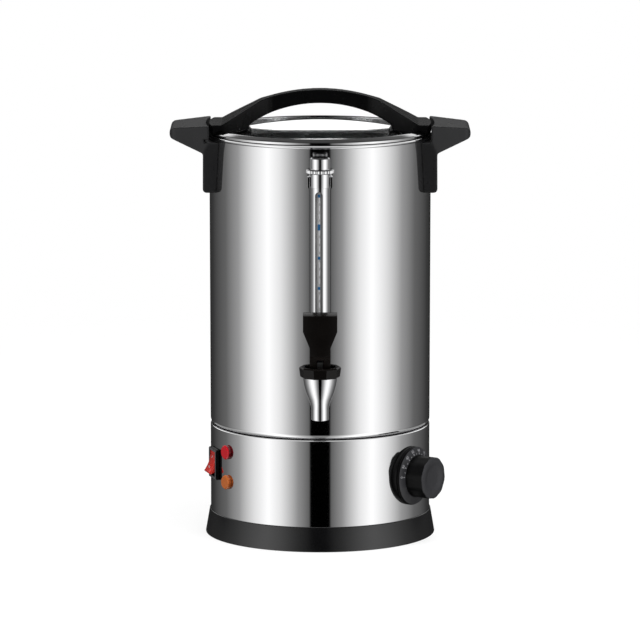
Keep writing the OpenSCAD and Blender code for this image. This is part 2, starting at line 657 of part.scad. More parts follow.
// terminals as [radius, angle, height]
inlet_live = [82, 87.9, inlet_z - 7];
inlet_neutral = [82, 87.9, inlet_z + 7];
inlet_earth = [82, 92.1, inlet_z];
switch_at = [for (z = [-8, 0, 8]) [82, 360 + switch_a, switch_z + z]];
lamp_at = [for (z = [heat_lamp_z, warm_lamp_z], turn = [-1.75, 1.75]) [82, 360 + lamp_a + turn, z]];
thermostat_at = [for (z = [-9, 9]) [72, 360 + dial_a, dial_z + z]];
module lead(path) tube(eased(path), 1.3, 6);
module wiring() color([0.6, 0.1, 0.1]) {
    low = 14;
    step = 5;
    lead(wire(inlet_live, switch_at[0], 7, low));
    lead(wire(switch_at[1], thermostat_at[0], 11, low + step));
    lead(wire(switch_at[2], lamp_at[0], 15, low + 2 * step));
    lead(wire(inlet_earth, [98, earth_a, earth_z], 23, low + 3 * step));
    // one lamp to the other
    lead([for (k = [0:3]) polar(k == 0 || k == 3 ? 82 : 75, lamp_at[1][1], k < 2 ? heat_lamp_z : warm_lamp_z)]);
    // neutral to the cut-out, the cut-out to the element, and the element to the thermostat
    lead([polar(82, 87.9, inlet_neutral[2]), polar(56, 87.9, inlet_neutral[2]),
        [5, cutout_y, 84], [5, cutout_y, cutout_tab_z]]);
    lead([[-5, cutout_y, cutout_tab_z], [-5, cutout_y, 95],
        polar(element_r, element_a[0], 92), polar(element_r, element_a[0], element_tab_z)]);
    lead([polar(element_r, element_a[1], element_tab_z), polar(element_r, element_a[1], 40),
        for (a = [40:-20:-20]) polar(element_r - 8, a, low + 5 * step), polar(52, dial_a, 45),
        polar(52, dial_a, thermostat_at[1][2]), polar(72, dial_a, thermostat_at[1][2])]);
}

// ---------- lid ----------

// silicone seal that plugs the tank's mouth, hooked under the lid ring
module lid_gasket() color([0.1, 0.1, 0.1]) rotate_extrude() polygon([[plug_r + 0.3, 399], [108.7, 399],
    [108.3, ring_low - 0.6], [plug_r + 2, ring_low - 0.6], [plug_r + 2, 400.3], [plug_r + 0.3, 400.3]]);

// outer face of the lid ring, from its outer edge over the bead and down to the glass
function ring_face() = [[ring_r, ring_low], [ring_r, ring_low + 1.7], [ring_r - 0.4, ring_low + 2.5],
    [ring_r - 1.2, ring_low + 3], [plug_r + 2.2, ring_top - 0.3], [plug_r + 1.3, ring_top],
    [plug_r + 0.4, ring_top - 0.5], [plug_r, ring_top - 1.5]];
module lid_ring() color([0.78, 0.78, 0.78]) difference() {
    rotate_extrude() polygon(concat(ring_face(), [
        [plug_r, 401], [plug_r + 0.8, 401], [plug_r + 0.8, ring_top - 1.7], [plug_r + 1.1, ring_top - 0.9],
        [plug_r + 1.9, ring_top - 1.1], [ring_r - 1.5, ring_low + 2.2], [ring_r - 1, ring_low + 1.9],
        [ring_r - 0.8, ring_low + 1.4], [ring_r - 0.8, ring_low]]));
    at_lid_screws() rod_z(lid_screw_r + 0.1, 405, 417);
}

module lid_glass() color([0.8, 0.88, 0.9, 0.4]) intersection() {
    difference() {
        translate([0, 0, dome_z]) sphere(r = dome_r, $fn = 200);
        translate([0, 0, dome_z]) sphere(r = dome_r - glass_t, $fn = 200);
    }
    rod_z(plug_r - 0.5, 390, 430);
}

module glass_seal() color([0.08, 0.08, 0.08]) difference() {
    ring_z(plug_r, 100.8, 401.2, glass_edge_z - 0.1);
    lid_glass();
}

function arch_width(x) = let (s = min(1, max(0, (abs(x) - 45) / 55)))
    arch_half + (foot_half - arch_half) * s * s * (3 - 2 * s);
function arch_plan() = let (xs = [for (x = [-112:4:112]) x]) concat(
    [for (x = xs) [x, -arch_width(x)]], [for (i = [len(xs) - 1:-1:0]) [xs[i], arch_width(xs[i])]]);

// straight slopes that the arch's ends run into
function shoulders() = let (top = arch_top - arch_outer_r + sqrt(pow(arch_outer_r, 2) - pow(shoulder_x, 2)),
    drop = (foot_end - shoulder_x) * shoulder_slope) [[-foot_end, 380], [foot_end, 380],
    [foot_end, top - drop], [0, top + shoulder_x * shoulder_slope], [-foot_end, top - drop]];

// side view of the arch handle: X across the lid, Z up
module arch_profile() difference() {
    intersection() {
        union() {
            intersection() {
                translate([0, arch_top - arch_outer_r]) circle(r = arch_outer_r, $fn = 240);
                polygon(shoulders());
            }
            for (x = [-foot_end, 90]) translate([x, 395]) square([foot_end - 90, foot_top - 395]);
        }
        translate([-foot_end, 395]) square([2 * foot_end, 80]);
    }
    intersection() {
        translate([0, arch_under - arch_inner_r]) circle(r = arch_inner_r, $fn = 200);
        translate([-foot_in, 380]) square([2 * foot_in, 80]);
    }
}

// the feet end in arcs, a little inside the side handles
module foot_end_arc(side) translate([side * (foot_end - foot_arc_r), 0, 390])
    cylinder(r = foot_arc_r, h = 80, $fn = 200);

module lid_handle() color([0.06, 0.06, 0.06]) difference() {
    intersection() {
        slab_y(90) arch_profile();
        translate([0, 0, 390]) linear_extrude(80) polygon(arch_plan());
        foot_end_arc(1);
        foot_end_arc(-1);
    }
    // the feet follow the ring and the glass
    rotate_extrude() polygon(concat([[0, 380], [ring_r + 6, 380], [ring_r + 6, ring_low + 1.72]],
        [for (i = [1:7]) ring_face()[i] + [0, 0.02]], [[plug_r, glass_edge_z], [0, glass_edge_z]]));
    intersection() {
        translate([0, 0, dome_z]) sphere(r = dome_r + 0.15, $fn = 200);
        rod_z(plug_r, 390, 430);
    }
    at_lid_screws() rod_z(lid_screw_r, 405, 417);
}

module at_lid_screws() for (x = [-lid_screw_x, lid_screw_x], y = [-15, 15]) translate([x, y, 0])
    children();
module lid_screws() color([0.75, 0.75, 0.75]) at_lid_screws() {
    rod_z(lid_screw_r, 409.8, 416.5);
    rod_z(2.2, 408.4, 409.8);
}

tank_shell();
tank_floor();
lower_skirt();
base_ring();
foot_ring();
bottom_cover();
centre_stud();
stud_nuts();
heater_plate();
heating_element();
heat_shield();
thermal_cutout();
left_handle();
right_handle();
handle_screws();
handle_washers();
tap_body();
tap_bonnet();
tap_gaskets();
tap_nut();
valve_spring();
valve_stem();
valve_cup();
tap_lever();
lever_pin();
gauge_glass();
gauge_guard();
gauge_sleeve();
gauge_bracket();
gauge_collar();
gauge_cap();
gauge_seals();
gauge_nut();
switch_housing();
switch_terminals();
switch_rocker();
heat_lamp_lens();
warm_lamp_lens();
lamp_bodies();
lamp_clips();
dial_knob();
dial_collar();
thermostat_shaft();
thermostat_body();
thermostat_plate();
thermostat_screws();
sensor_bulb();
power_inlet();
inlet_pins();
inlet_screws();
earth_screw();
wiring();
lid_gasket();
lid_ring();
lid_glass();
glass_seal();
lid_handle();
lid_screws();
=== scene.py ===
"""Looks of the hot water urn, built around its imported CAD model.

Sizes of the urn are in millimetres, in the CAD model's own frame, and become metres in solid().
The studio's sizes are in metres. Z is up, the tap is at -Y, and an angle on the wall counts from +X.
"""

import json
import math

import bmesh
import bpy
from mathutils import Matrix, Vector


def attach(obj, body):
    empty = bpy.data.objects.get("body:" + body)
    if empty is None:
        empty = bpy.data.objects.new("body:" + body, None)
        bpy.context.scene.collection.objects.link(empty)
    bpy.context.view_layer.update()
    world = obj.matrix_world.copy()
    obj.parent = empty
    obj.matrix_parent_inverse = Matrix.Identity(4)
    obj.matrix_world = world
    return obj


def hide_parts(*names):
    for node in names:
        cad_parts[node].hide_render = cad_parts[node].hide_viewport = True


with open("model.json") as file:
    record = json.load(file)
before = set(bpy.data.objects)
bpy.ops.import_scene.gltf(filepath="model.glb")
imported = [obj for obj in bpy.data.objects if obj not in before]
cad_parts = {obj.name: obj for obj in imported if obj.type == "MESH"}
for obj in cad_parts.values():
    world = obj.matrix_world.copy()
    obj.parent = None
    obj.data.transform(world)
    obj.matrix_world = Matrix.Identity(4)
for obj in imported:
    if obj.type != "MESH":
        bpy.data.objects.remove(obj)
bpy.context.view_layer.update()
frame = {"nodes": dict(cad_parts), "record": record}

MM = 0.001
TAU = 2 * math.pi
SHARP_DEG = 32

# tank and base
BODY_R = 111.0
SHEET = 0.8
RIM_Z = 405.5
RIM_BEAD_R = 1.7
SEAM_Z = 112.4
SEAM_LIP_R = BODY_R - 9
FOOT_IN_R = 104
FOOT_OUT_R = 110
FOOT_SEAT_Z = 3
LEDGE_TOP = 20
BASE_H = 24.7
BASE_FLARE = 5.3
WALL_X = BODY_R + 0.05

# lid
DOME_R = 422.0
DOME_TOP = 419.0
GLASS_T = 4.0
RING_TOP = 413.0
RING_LOW = 407.8
RING_R = 111.2
PLUG_R = 103.4

# tap and gauge
TAP_Y = 168.0
SHANK_Z = 174.0
NOZZLE_R = 8.6
OUTLET_Z = 143.5
PIN_Z = 200.0
DECK_Z = 191.5
BONNET_Z = 186.0
BONNET_SEAT_R = 13.4
STEM_HOLE_R = 3.05
GAUGE_Y = 133.0
GLASS_R = 5.5
GUARD_R = 9.3
GUARD_LOW = 190.0
GUARD_TOP = 368.5
SLEEVE_R = 10.0
SLEEVE_BORE_R = 5.6
SLOT_W = 7.6
SLOT_LOW = 198.0
SLOT_TOP = 361.4
SLOT_TURN = -8.0
COLLAR_Z = 382.6
CAP_Z = 387.0
CAP_TOP = 398.7

# controls, as angles on the wall
SWITCH_A = -162.6
SWITCH_Z = 75.5
SWITCH_HALF = (10.75, 13.75)
SWITCH_GAP = 0.1
BEZEL_X = 114.4
PIVOT_X = 111.0
ROCKER_TILT = -18
ROCKER_HALF_W = 9.2
TIP_X = 6.2
TIP_Z = 10.8
SAG = 2.0
LAMP_A = -147.0
LAMP_Z = {"heat": 91.5, "warm": 61.0}
LAMP_SIDES = 12
DIAL_A = -34.5
DIAL_Z = 68.4
DIAL_R = 29.5
SKIRT_X = 113.1
PLATE_EDGE = 2.6
PLATE_TOP = 5.2
SHAFT_R = 3
KNOB_R = 21.2
KNOB_X = 138.0
KNOB_H = KNOB_X - SKIRT_X
INLET_A = 90.0
INLET_Z = 64.0
INLET_HALF = (10.1, 13.9)


# ---------- meshes ----------

def link(name, mesh):
    piece = bpy.data.objects.new(name, mesh)
    bpy.context.scene.collection.objects.link(piece)
    return piece


def settle(mesh, sharp_deg=SHARP_DEG):
    """Merges double points, turns the faces outwards, and marks the sharp edges."""
    bm = bmesh.new()
    bm.from_mesh(mesh)
    bmesh.ops.remove_doubles(bm, verts=bm.verts, dist=1e-7)
    bmesh.ops.dissolve_degenerate(bm, edges=bm.edges, dist=1e-8)
    bmesh.ops.recalc_face_normals(bm, faces=bm.faces)
    for face in bm.faces:
        face.smooth = True
    for edge in bm.edges:
        edge.smooth = edge.is_manifold and edge.calc_face_angle(0) < math.radians(sharp_deg)
    bm.to_mesh(mesh)
    bm.free()
    mesh.update()


def solid(name, points, faces, sharp_deg=SHARP_DEG):
    """A piece from points in millimetres."""
    mesh = bpy.data.meshes.new(name)
    mesh.from_pydata([Vector(p) * MM for p in points], [], faces)
    settle(mesh, sharp_deg)
    return link(name, mesh)


def corner(a, b, c, radius, steps):
    """The arc that rounds corner b between a and c."""
    u, v = (a - b).normalized(), (c - b).normalized()
    half = u.angle(v) / 2
    centre = b + (u + v).normalized() * radius / math.sin(half)
    start = b + u * radius / math.tan(half) - centre
    end = b + v * radius / math.tan(half) - centre
    a0 = math.atan2(start.y, start.x)
    turn = (math.atan2(end.y, end.x) - a0 + math.pi) % TAU - math.pi
    angles = [a0 + turn * k / steps for k in range(steps + 1)]
    return [(centre.x + radius * math.cos(t), centre.y + radius * math.sin(t)) for t in angles]


def rounded(points, steps=4):
    """An outline whose points are (x, y) or (x, y, corner radius)."""
    flat = [Vector(p[:2]) for p in points]
    outline = []
    for i, p in enumerate(points):
        if len(p) == 2 or p[2] == 0:
            outline.append(tuple(p[:2]))
        else:
            after = flat[(i + 1) % len(flat)]
            outline += corner(flat[i - 1], flat[i], after, p[2], steps)
    return outline


def arc(x, y, radius, from_deg, to_deg, steps):
    """Points on a circle round (x, y), both ends included."""
    angles = [math.radians(from_deg + (to_deg - from_deg) * k / steps) for k in range(steps + 1)]
    return [(x + radius * math.cos(t), y + radius * math.sin(t)) for t in angles]


def lathe(name, profile, steps=192, sharp_deg=SHARP_DEG):
    """Turns a closed outline of (radius, z) about the Z axis."""
    n = len(profile)
    points = []
    for r, z in profile:
        for k in range(steps):
            t = TAU * k / steps
            points.append((r * math.cos(t), r * math.sin(t), z))
    faces = []
    for i in range(n):
        for k in range(steps):
            j, m = (i + 1) % n, (k + 1) % steps
            faces.append((i * steps + k, i * steps + m, j * steps + m, j * steps + k))
    return solid(name, points, faces, sharp_deg)


def loft(name, loops, caps=True, sharp_deg=SHARP_DEG):
    """Joins loops that have the same number of points. Without caps, the last joins the first."""
    n, per = len(loops), len(loops[0])
    points = [p for loop in loops for p in loop]
    faces = []
    for i in range(n - 1 if caps else n):
        j = (i + 1) % n
        for k in range(per):
            m = (k + 1) % per
            faces.append((i * per + k, i * per + m, j * per + m, j * per + k))
    if caps:
        faces.append(tuple(range(per)))
        faces.append(tuple(range((n - 1) * per, n * per)))
    return solid(name, points, faces, sharp_deg)


def prism(name, outline, low, high):
    """An outline in X and Y from z low to z high."""
    return loft(name, [[(x, y, z) for x, y in outline] for z in (low, high)])


def box(name, x, y, z):
    """A block from its lowest and highest x, y and z."""
    (x0, x1), (y0, y1) = x, y
    return prism(name, [(x0, y0), (x1, y0), (x1, y1), (x0, y1)], *z)


def rounded_box(half_y, half_z, radius):
    """Outline of a rectangle with round corners."""
    signs = [(1, 1), (-1, 1), (-1, -1), (1, -1)]
    return rounded([(a * half_y, b * half_z, radius) for a, b in signs])


def place(piece, *matrices):
    """Moves a piece's mesh by each matrix in turn."""
    for m in matrices:
        piece.data.transform(m)
    return piece


def moved(x, y, z):
    return Matrix.Translation(Vector((x, y, z)) * MM)


def turned(degrees, axis):
    return Matrix.Rotation(math.radians(degrees), 4, axis)


def at_wall(angle, z):
    """Local X becomes outwards from the tank's wall, at an angle and a height."""
    return moved(0, 0, z) @ turned(angle, "Z")


Z_TO_X = turned(90, "Y")
Z_TO_FRONT = turned(90, "X")


def bevel(piece, width, segments=3, angle_deg=35):
    """Rounds the edges that turn by more than an angle."""
    bm = bmesh.new()
    bm.from_mesh(piece.data)
    limit = math.radians(angle_deg)
    edges = [e for e in bm.edges if e.is_manifold and e.calc_face_angle(0) > limit]
    bmesh.ops.bevel(bm, geom=edges, offset=width * MM, segments=segments, profile=0.5,
                    affect="EDGES", clamp_overlap=True)
    bm.to_mesh(piece.data)
    bm.free()
    settle(piece.data)
    return piece


def evaluated(piece):
    """Applies a piece's modifiers."""
    graph = bpy.context.evaluated_depsgraph_get()
    mesh = bpy.data.meshes.new_from_object(piece.evaluated_get(graph))
    piece.modifiers.clear()
    piece.data = mesh
    return piece


def combine(piece, others, operation, sharp_deg):
    """Adds other pieces to a piece, or cuts them from it."""
    for other in others:
        m = piece.modifiers.new("combine", "BOOLEAN")
        m.operation = operation
        m.solver = "EXACT"
        m.object = other
        evaluated(piece)
        bpy.data.objects.remove(other)
    settle(piece.data, sharp_deg)
    return piece


def cut(piece, *others, sharp_deg):
    return combine(piece, others, "DIFFERENCE", sharp_deg)


def weld(piece, *others, sharp_deg):
    return combine(piece, others, "UNION", sharp_deg)


def join(name, pieces):
    """One object from several closed pieces that don't meet."""
    bm = bmesh.new()
    for piece in pieces:
        bm.from_mesh(piece.data)
        bpy.data.objects.remove(piece)
    mesh = bpy.data.meshes.new(name)
    bm.to_mesh(mesh)
    bm.free()
    return link(name, mesh)


def copy_of(node, name):
    return link(name, frame["nodes"][node].data.copy())


def moulded(node, name, passes):
    """A node's shape with softly rounded edges, as a moulding has."""
    piece = copy_of(node, name)
    remesh = piece.modifiers.new("remesh", "REMESH")
    remesh.mode = "VOXEL"
    remesh.voxel_size = 0.7 * MM
    smooth = piece.modifiers.new("smooth", "SMOOTH")
    smooth.factor = 0.5
    smooth.iterations = passes
    decimate = piece.modifiers.new("decimate", "DECIMATE")
    decimate.ratio = 0.25
    evaluated(piece)
    settle(piece.data, 60)
    return piece


def softened(node, name, width, segments=2):
    """A node's shape with small bevels on its sharp edges."""
    piece = copy_of(node, name)
    settle(piece.data)
    bm = bmesh.new()
    bm.from_mesh(piece.data)
    bmesh.ops.dissolve_limit(bm, angle_limit=math.radians(0.5), verts=bm.verts, edges=bm.edges)
    bm.to_mesh(piece.data)
    bm.free()
    return bevel(piece, width, segments)


# ---------- materials ----------

def nodes_of(material):
    material.use_nodes = True
    return material.node_tree.nodes, material.node_tree.links


def surface(name, color, rough, metallic=0.0, rough_spread=0.0, tint_spread=0.0, grain=40.0,
            bump=0.0, bump_scale=600.0, stretch=(1, 1, 1), **sockets):
    """A surface whose roughness and tint vary by a spread over it, at a grain, with fine relief."""
    material = bpy.data.materials.new(name)
    nodes, links = nodes_of(material)
    shader = nodes["Principled BSDF"]
    shader.inputs["Base Color"].default_value = (*color, 1)
    shader.inputs["Metallic"].default_value = metallic
    shader.inputs["Roughness"].default_value = rough
    for socket, value in sockets.items():
        shader.inputs[socket.replace("_", " ")].default_value = value
    coordinates = nodes.new("ShaderNodeTexCoord")
    mapping = nodes.new("ShaderNodeMapping")
    mapping.inputs["Scale"].default_value = stretch
    links.new(coordinates.outputs["Object"], mapping.inputs["Vector"])

    def noise(scale, detail=3.0):
        texture = nodes.new("ShaderNodeTexNoise")
        texture.inputs["Scale"].default_value = scale
        texture.inputs["Detail"].default_value = detail
        links.new(mapping.outputs["Vector"], texture.inputs["Vector"])
        return texture.outputs["Fac"]

    def ranged(value, low, high):
        node = nodes.new("ShaderNodeMapRange")
        node.inputs["From Min"].default_value = 0.3
        node.inputs["From Max"].default_value = 0.7
        node.inputs["To Min"].default_value = low
        node.inputs["To Max"].default_value = high
        links.new(value, node.inputs["Value"])
        return node.outputs["Result"]

    if rough_spread:
        low, high = rough - rough_spread, rough + rough_spread
        links.new(ranged(noise(grain), low, high), shader.inputs["Roughness"])
    if tint_spread:
        mix = nodes.new("ShaderNodeMix")
        mix.data_type = "RGBA"
        mix.inputs["A"].default_value = (*[c * (1 - tint_spread) for c in color], 1)
        mix.inputs["B"].default_value = (*[min(1, c * (1 + tint_spread)) for c in color], 1)
        links.new(ranged(noise(25.0), 0, 1), mix.inputs["Factor"])
        links.new(mix.outputs["Result"], shader.inputs["Base Color"])
    if bump:
        relief = nodes.new("ShaderNodeBump")
        relief.inputs["Strength"].default_value = bump
        relief.inputs["Distance"].default_value = 0.1 * MM
        links.new(noise(bump_scale, 2.0), relief.inputs["Height"])
        links.new(relief.outputs["Normal"], shader.inputs["Normal"])
    return material


STEEL = surface("polished_steel", (0.78, 0.78, 0.785), 0.07, 1, 0.02, 0.01, 12.0,
                bump=0.004, bump_scale=500, stretch=(1, 1, 0.08))
INNER_STEEL = surface("inner_steel", (0.66, 0.66, 0.665), 0.28, 1, 0.07, 0.04, 60.0)
CHROME = surface("chrome", (0.86, 0.86, 0.87), 0.05, 1, 0.02, 0.01, 60.0)
SATIN_BLACK = surface("satin_black", (0.006, 0.006, 0.0065), 0.3, 0, 0.04, 0.12, 90.0,
                      bump=0.06, bump_scale=1500, Specular_IOR_Level=0.25)
HANDLE_BLACK = surface("handle_black", (0.02, 0.02, 0.021), 0.3, 0, 0.04, 0.1, 90.0,
                       bump=0.06, bump_scale=1500, Specular_IOR_Level=0.25)
ARCH_BLACK = surface("arch_black", (0.003, 0.003, 0.0032), 0.28, 0, 0.04, 0.12, 90.0,
                     bump=0.05, bump_scale=1500, Specular_IOR_Level=0.14)
DIAL_BLACK = surface("dial_black", (0.003, 0.003, 0.0032), 0.35, 0, 0.04, 0.12, 90.0,
                     bump=0.05, bump_scale=1500, Specular_IOR_Level=0.12)
BASE_BLACK = surface("base_black", (0.005, 0.005, 0.0055), 0.21, 0, 0.03, 0.1, 50.0,
                     bump=0.02, bump_scale=900, Specular_IOR_Level=0.75)
GLOSS_BLACK = surface("gloss_black", (0.006, 0.005, 0.0045), 0.2, 0, 0.04, 0.15, 80.0,
                      bump=0.02, bump_scale=700, Specular_IOR_Level=0.17)
# lighter greys for the faces of the dial and the bezel that look out, as painted light on their dark
# plastic
DIAL_GREY = surface("dial_grey", (0.034, 0.034, 0.038), 0.42, 0, 0.05, 0.1, 90.0,
                    bump=0.06, bump_scale=1400)
BEZEL_GREY = surface("bezel_grey", (0.11, 0.11, 0.115), 0.5, 0, 0.05, 0.1, 90.0,
                     bump=0.1, bump_scale=1600)
SOCKET_BLACK = surface("socket_black", (0.01, 0.01, 0.01), 0.4, 0, 0.05, 0.1, 90.0)
RED = surface("red_rocker", (0.8, 0.03, 0.02), 0.22, 0, 0.05, 0.08, 50.0,
              Coat_Weight=0.5, Coat_Roughness=0.1, Subsurface_Weight=0.15)
RED_LENS = surface("red_lens", (0.7, 0.008, 0.02), 0.12, 0, 0.02, 0.1, 50.0)
# darker copies of the lens colours for the lamps' side facets, as painted shade
RED_LENS_SHADED = surface("red_lens_painted_shade", (0.17, 0.008, 0.012), 0.12, 0, 0.02, 0.1, 50.0)
AMBER_LENS = surface("amber_lens", (0.66, 0.17, 0.035), 0.12, 0, 0.02, 0.1, 50.0)
AMBER_LENS_SHADED = surface("amber_lens_painted_shade", (0.45, 0.1, 0.02), 0.12, 0, 0.02, 0.1, 50.0)
GLASS = surface("clear_glass", (0.97, 0.99, 0.99), 0.0, 0, IOR=1.5, Transmission_Weight=1.0)
DOME_GLASS = surface("dome_glass", (0.97, 0.99, 0.99), 0.0, 0, IOR=1.5, Transmission_Weight=1.0)
BRUSHED_INSIDE = surface("brushed_inside", (0.8, 0.8, 0.8), 0.4, 0.5, 0.06, 0.02, 40.0,
                         stretch=(1, 1, 0.1))
RUBBER = surface("black_silicone", (0.02, 0.02, 0.02), 0.55, 0, 0.06, 0.15, 70.0,
                 bump=0.05, bump_scale=900)
SILICONE = surface("clear_silicone", (0.72, 0.72, 0.69), 0.4, 0, 0.05, 0.03, 70.0,
                   Subsurface_Weight=0.2)
ALUMINIUM = surface("aluminium", (0.72, 0.72, 0.73), 0.4, 1, 0.08, 0.05, 60.0,
                    bump=0.1, bump_scale=700)
BRASS = surface("brass", (0.8, 0.6, 0.28), 0.25, 1, 0.06, 0.06, 60.0)
COPPER = surface("copper", (0.75, 0.4, 0.25), 0.3, 1, 0.06, 0.08, 60.0)
WHITE = surface("white_plastic", (0.78, 0.78, 0.74), 0.45, 0, 0.05, 0.03, 60.0)
WIRE = surface("wire_red", (0.55, 0.05, 0.04), 0.5, 0, 0.06, 0.08, 60.0)
PRINT = surface("white_print", (0.75, 0.75, 0.77), 0.5, 0, 0.05, 0.03, 60.0)
DIAL_PRINT = surface("dial_print", (0.42, 0.42, 0.44), 0.5, 0, 0.05, 0.03, 60.0)
BLUE_MARK = surface("blue_mark", (0.01, 0.13, 0.33), 0.4, 0, 0.05, 0.05, 60.0)
# a lighter and a darker copy of one grey for the sight glass's two halves, as painted light and painted
# shade
STRIP = surface("gauge_strip", (0.5, 0.5, 0.5), 0.4, 0, 0.05, 0.05, 60.0)
SHADED_STRIP = surface("gauge_strip_painted_shade", (0.24, 0.24, 0.24), 0.4, 0, 0.05, 0.05, 60.0)


def add_glare(material, share):
    """Glass that mirrors the room more strongly at a flat angle."""
    nodes, links = nodes_of(material)
    mirror = nodes.new("ShaderNodeBsdfGlossy")
    mirror.inputs["Roughness"].default_value = 0.03
    angle = nodes.new("ShaderNodeLayerWeight")
    amount = nodes.new("ShaderNodeMapRange")
    for socket, value in (("From Min", 0.3), ("From Max", 0.6), ("To Min", 0.0), ("To Max", share)):
        amount.inputs[socket].default_value = value
    links.new(angle.outputs["Facing"], amount.inputs["Value"])
    mix = nodes.new("ShaderNodeMixShader")
    links.new(amount.outputs["Result"], mix.inputs["Fac"])
    links.new(nodes["Principled BSDF"].outputs[0], mix.inputs[1])
    links.new(mirror.outputs[0], mix.inputs[2])
    links.new(mix.outputs[0], nodes["Material Output"].inputs["Surface"])


add_glare(DOME_GLASS, 0.6)

BY_SLOT = {
    "polished_steel": STEEL, "inner_steel": INNER_STEEL, "chrome": CHROME,
    "satin_black": SATIN_BLACK, "gloss_black": GLOSS_BLACK, "dial_grey": DIAL_GREY,
    "bezel_grey": BEZEL_GREY, "red_lens": RED, "amber_lens": AMBER_LENS, "clear_glass": GLASS,
    "black_silicone": RUBBER, "clear_silicone": SILICONE, "aluminium": ALUMINIUM,
    "brass": BRASS, "copper": COPPER, "white_plastic": WHITE, "wire_red": WIRE,
}
SLOT_OF = {s["node"]: s["material_slot"] for s in frame["record"]["subparts"]}
BODY_OF = {n: b for b, ns in frame["record"]["behaviour"]["bodies"].items() for n in ns}


def dress_nodes():
    """Every CAD node gets its slot's material, also where a detailed piece stands for it."""
    for name, node in frame["nodes"].items():
        node.data.materials.clear()
        node.data.materials.append(BY_SLOT[SLOT_OF[name]])


def dress(piece, node, material=None):
    """A piece stands for a node: it rides on that node's body and has its slot."""
    piece.data.materials.clear()
    piece.data.materials.append(material or BY_SLOT[SLOT_OF[node]])
    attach(piece, BODY_OF[node])
    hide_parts(node)
    return piece


def trim(piece, body, material):
    """A piece that the CAD model doesn't have, such as a printed mark."""
    piece.data.materials.clear()
    piece.data.materials.append(material)
    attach(piece, body)
    return piece


def picked(piece, rule):
    """Which of a piece's faces a rule picks, in the order of its faces."""
    return [rule(face) for face in piece.data.polygons]


def two_tone(piece, material, flags):
    """A second material on the flagged faces."""
    piece.data.materials.append(material)
    for face, flag in zip(piece.data.polygons, flags):
        face.material_index = int(flag)


# ---------- tank and base ----------

def make_tank():
    """The wall turns inwards at the seam and ends in a rolled rim."""
    turn = 6.0
    mid = BODY_R - turn
    profile = [(SEAM_LIP_R, SEAM_Z), *arc(mid, SEAM_Z + turn, turn, -90, 0, 10)]
    profile += arc(BODY_R - 0.1, RIM_Z, RIM_BEAD_R, -70, 245, 24)
    profile += arc(mid, SEAM_Z + turn, turn - SHEET, 0, -90, 8)
    profile += [(SEAM_LIP_R, SEAM_Z + SHEET)]
    wall = dress(lathe("tank_wall", profile, 256, 50), "tank_shell")

    def is_inside(face):
        outwards = face.normal.x * face.center.x + face.normal.y * face.center.y
        return outwards < 0 and SEAM_Z < face.center.z / MM < RIM_Z - 2

    two_tone(wall, BRUSHED_INSIDE, picked(wall, is_inside))


def make_skirt():
    """The skirt has rows of faces at the windows' edges, so that cutting them spoils no others."""
    turn = 1.2
    mid = BODY_R - turn
    rows = [LEDGE_TOP, 49.5, 60.8, 78.6, 90]
    profile = [(BODY_R, z) for z in rows] + arc(mid, SEAM_Z - turn, turn, 0, 90, 10)
    profile += [(SEAM_LIP_R, SEAM_Z), (SEAM_LIP_R, SEAM_Z - SHEET)]
    profile += arc(mid, SEAM_Z - turn, turn - SHEET, 90, 0, 8)
    profile += [(BODY_R - SHEET, z) for z in reversed(rows)]
    skirt = lathe("steel_skirt", profile, 256, 50)

    def window(angle, z, half_y, half_z):
        hole = box("window", (BODY_R - 11, BODY_R + 7), (-half_y, half_y), (-half_z, half_z))
        return place(hole, at_wall(angle, z))

    switch_half = [half + SWITCH_GAP for half in SWITCH_HALF]
    windows = [window(SWITCH_A, SWITCH_Z, *switch_half), window(INLET_A, INLET_Z, *INLET_HALF)]
    cut(skirt, *windows, sharp_deg=50)
    dress(skirt, "lower_skirt")


def make_base():
    """A flared ring with a ledge for the skirt and a groove for the foot's rubber ring."""
    flare_r = BODY_R + BASE_FLARE
    edge_z = 0.3
    ledge_r, ledge_low = 107, 17.5
    web_low, web_top = 1, 5
    bore_r = FOOT_IN_R - 1
    profile = rounded([
        (bore_r, web_low), (FOOT_IN_R, web_low), (FOOT_IN_R, FOOT_SEAT_Z), (FOOT_OUT_R, FOOT_SEAT_Z),
        (FOOT_OUT_R, edge_z), (flare_r, edge_z, 0.6), (BODY_R + 1.1, BASE_H, 0.7), (WALL_X, BASE_H),
        (WALL_X, LEDGE_TOP), (ledge_r, LEDGE_TOP), (ledge_r, ledge_low), (BODY_R - SHEET, ledge_low),
        (flare_r - 3.2, web_top), (bore_r, web_top)], 6)
    dress(lathe("black_base", profile, 256, 40), "base_ring", BASE_BLACK)
    foot = rounded([(FOOT_IN_R, 0, 0.4), (FOOT_OUT_R, 0, 0.6), (FOOT_OUT_R, FOOT_SEAT_Z),
                    (FOOT_IN_R, FOOT_SEAT_Z)])
    dress(lathe("rubber_foot", foot, 160), "foot_ring")


# ---------- side handles and lid handle ----------

def make_handles():
    """The grips are smoothed in more passes than the lid's arch."""
    for side in ("left", "right"):
        grip = moulded(f"{side}_handle", f"{side}_grip", 12)
        dress(grip, f"{side}_handle", HANDLE_BLACK)
    dress(moulded("lid_handle", "arch_handle", 6), "lid_handle", ARCH_BLACK)


# ---------- lid ----------

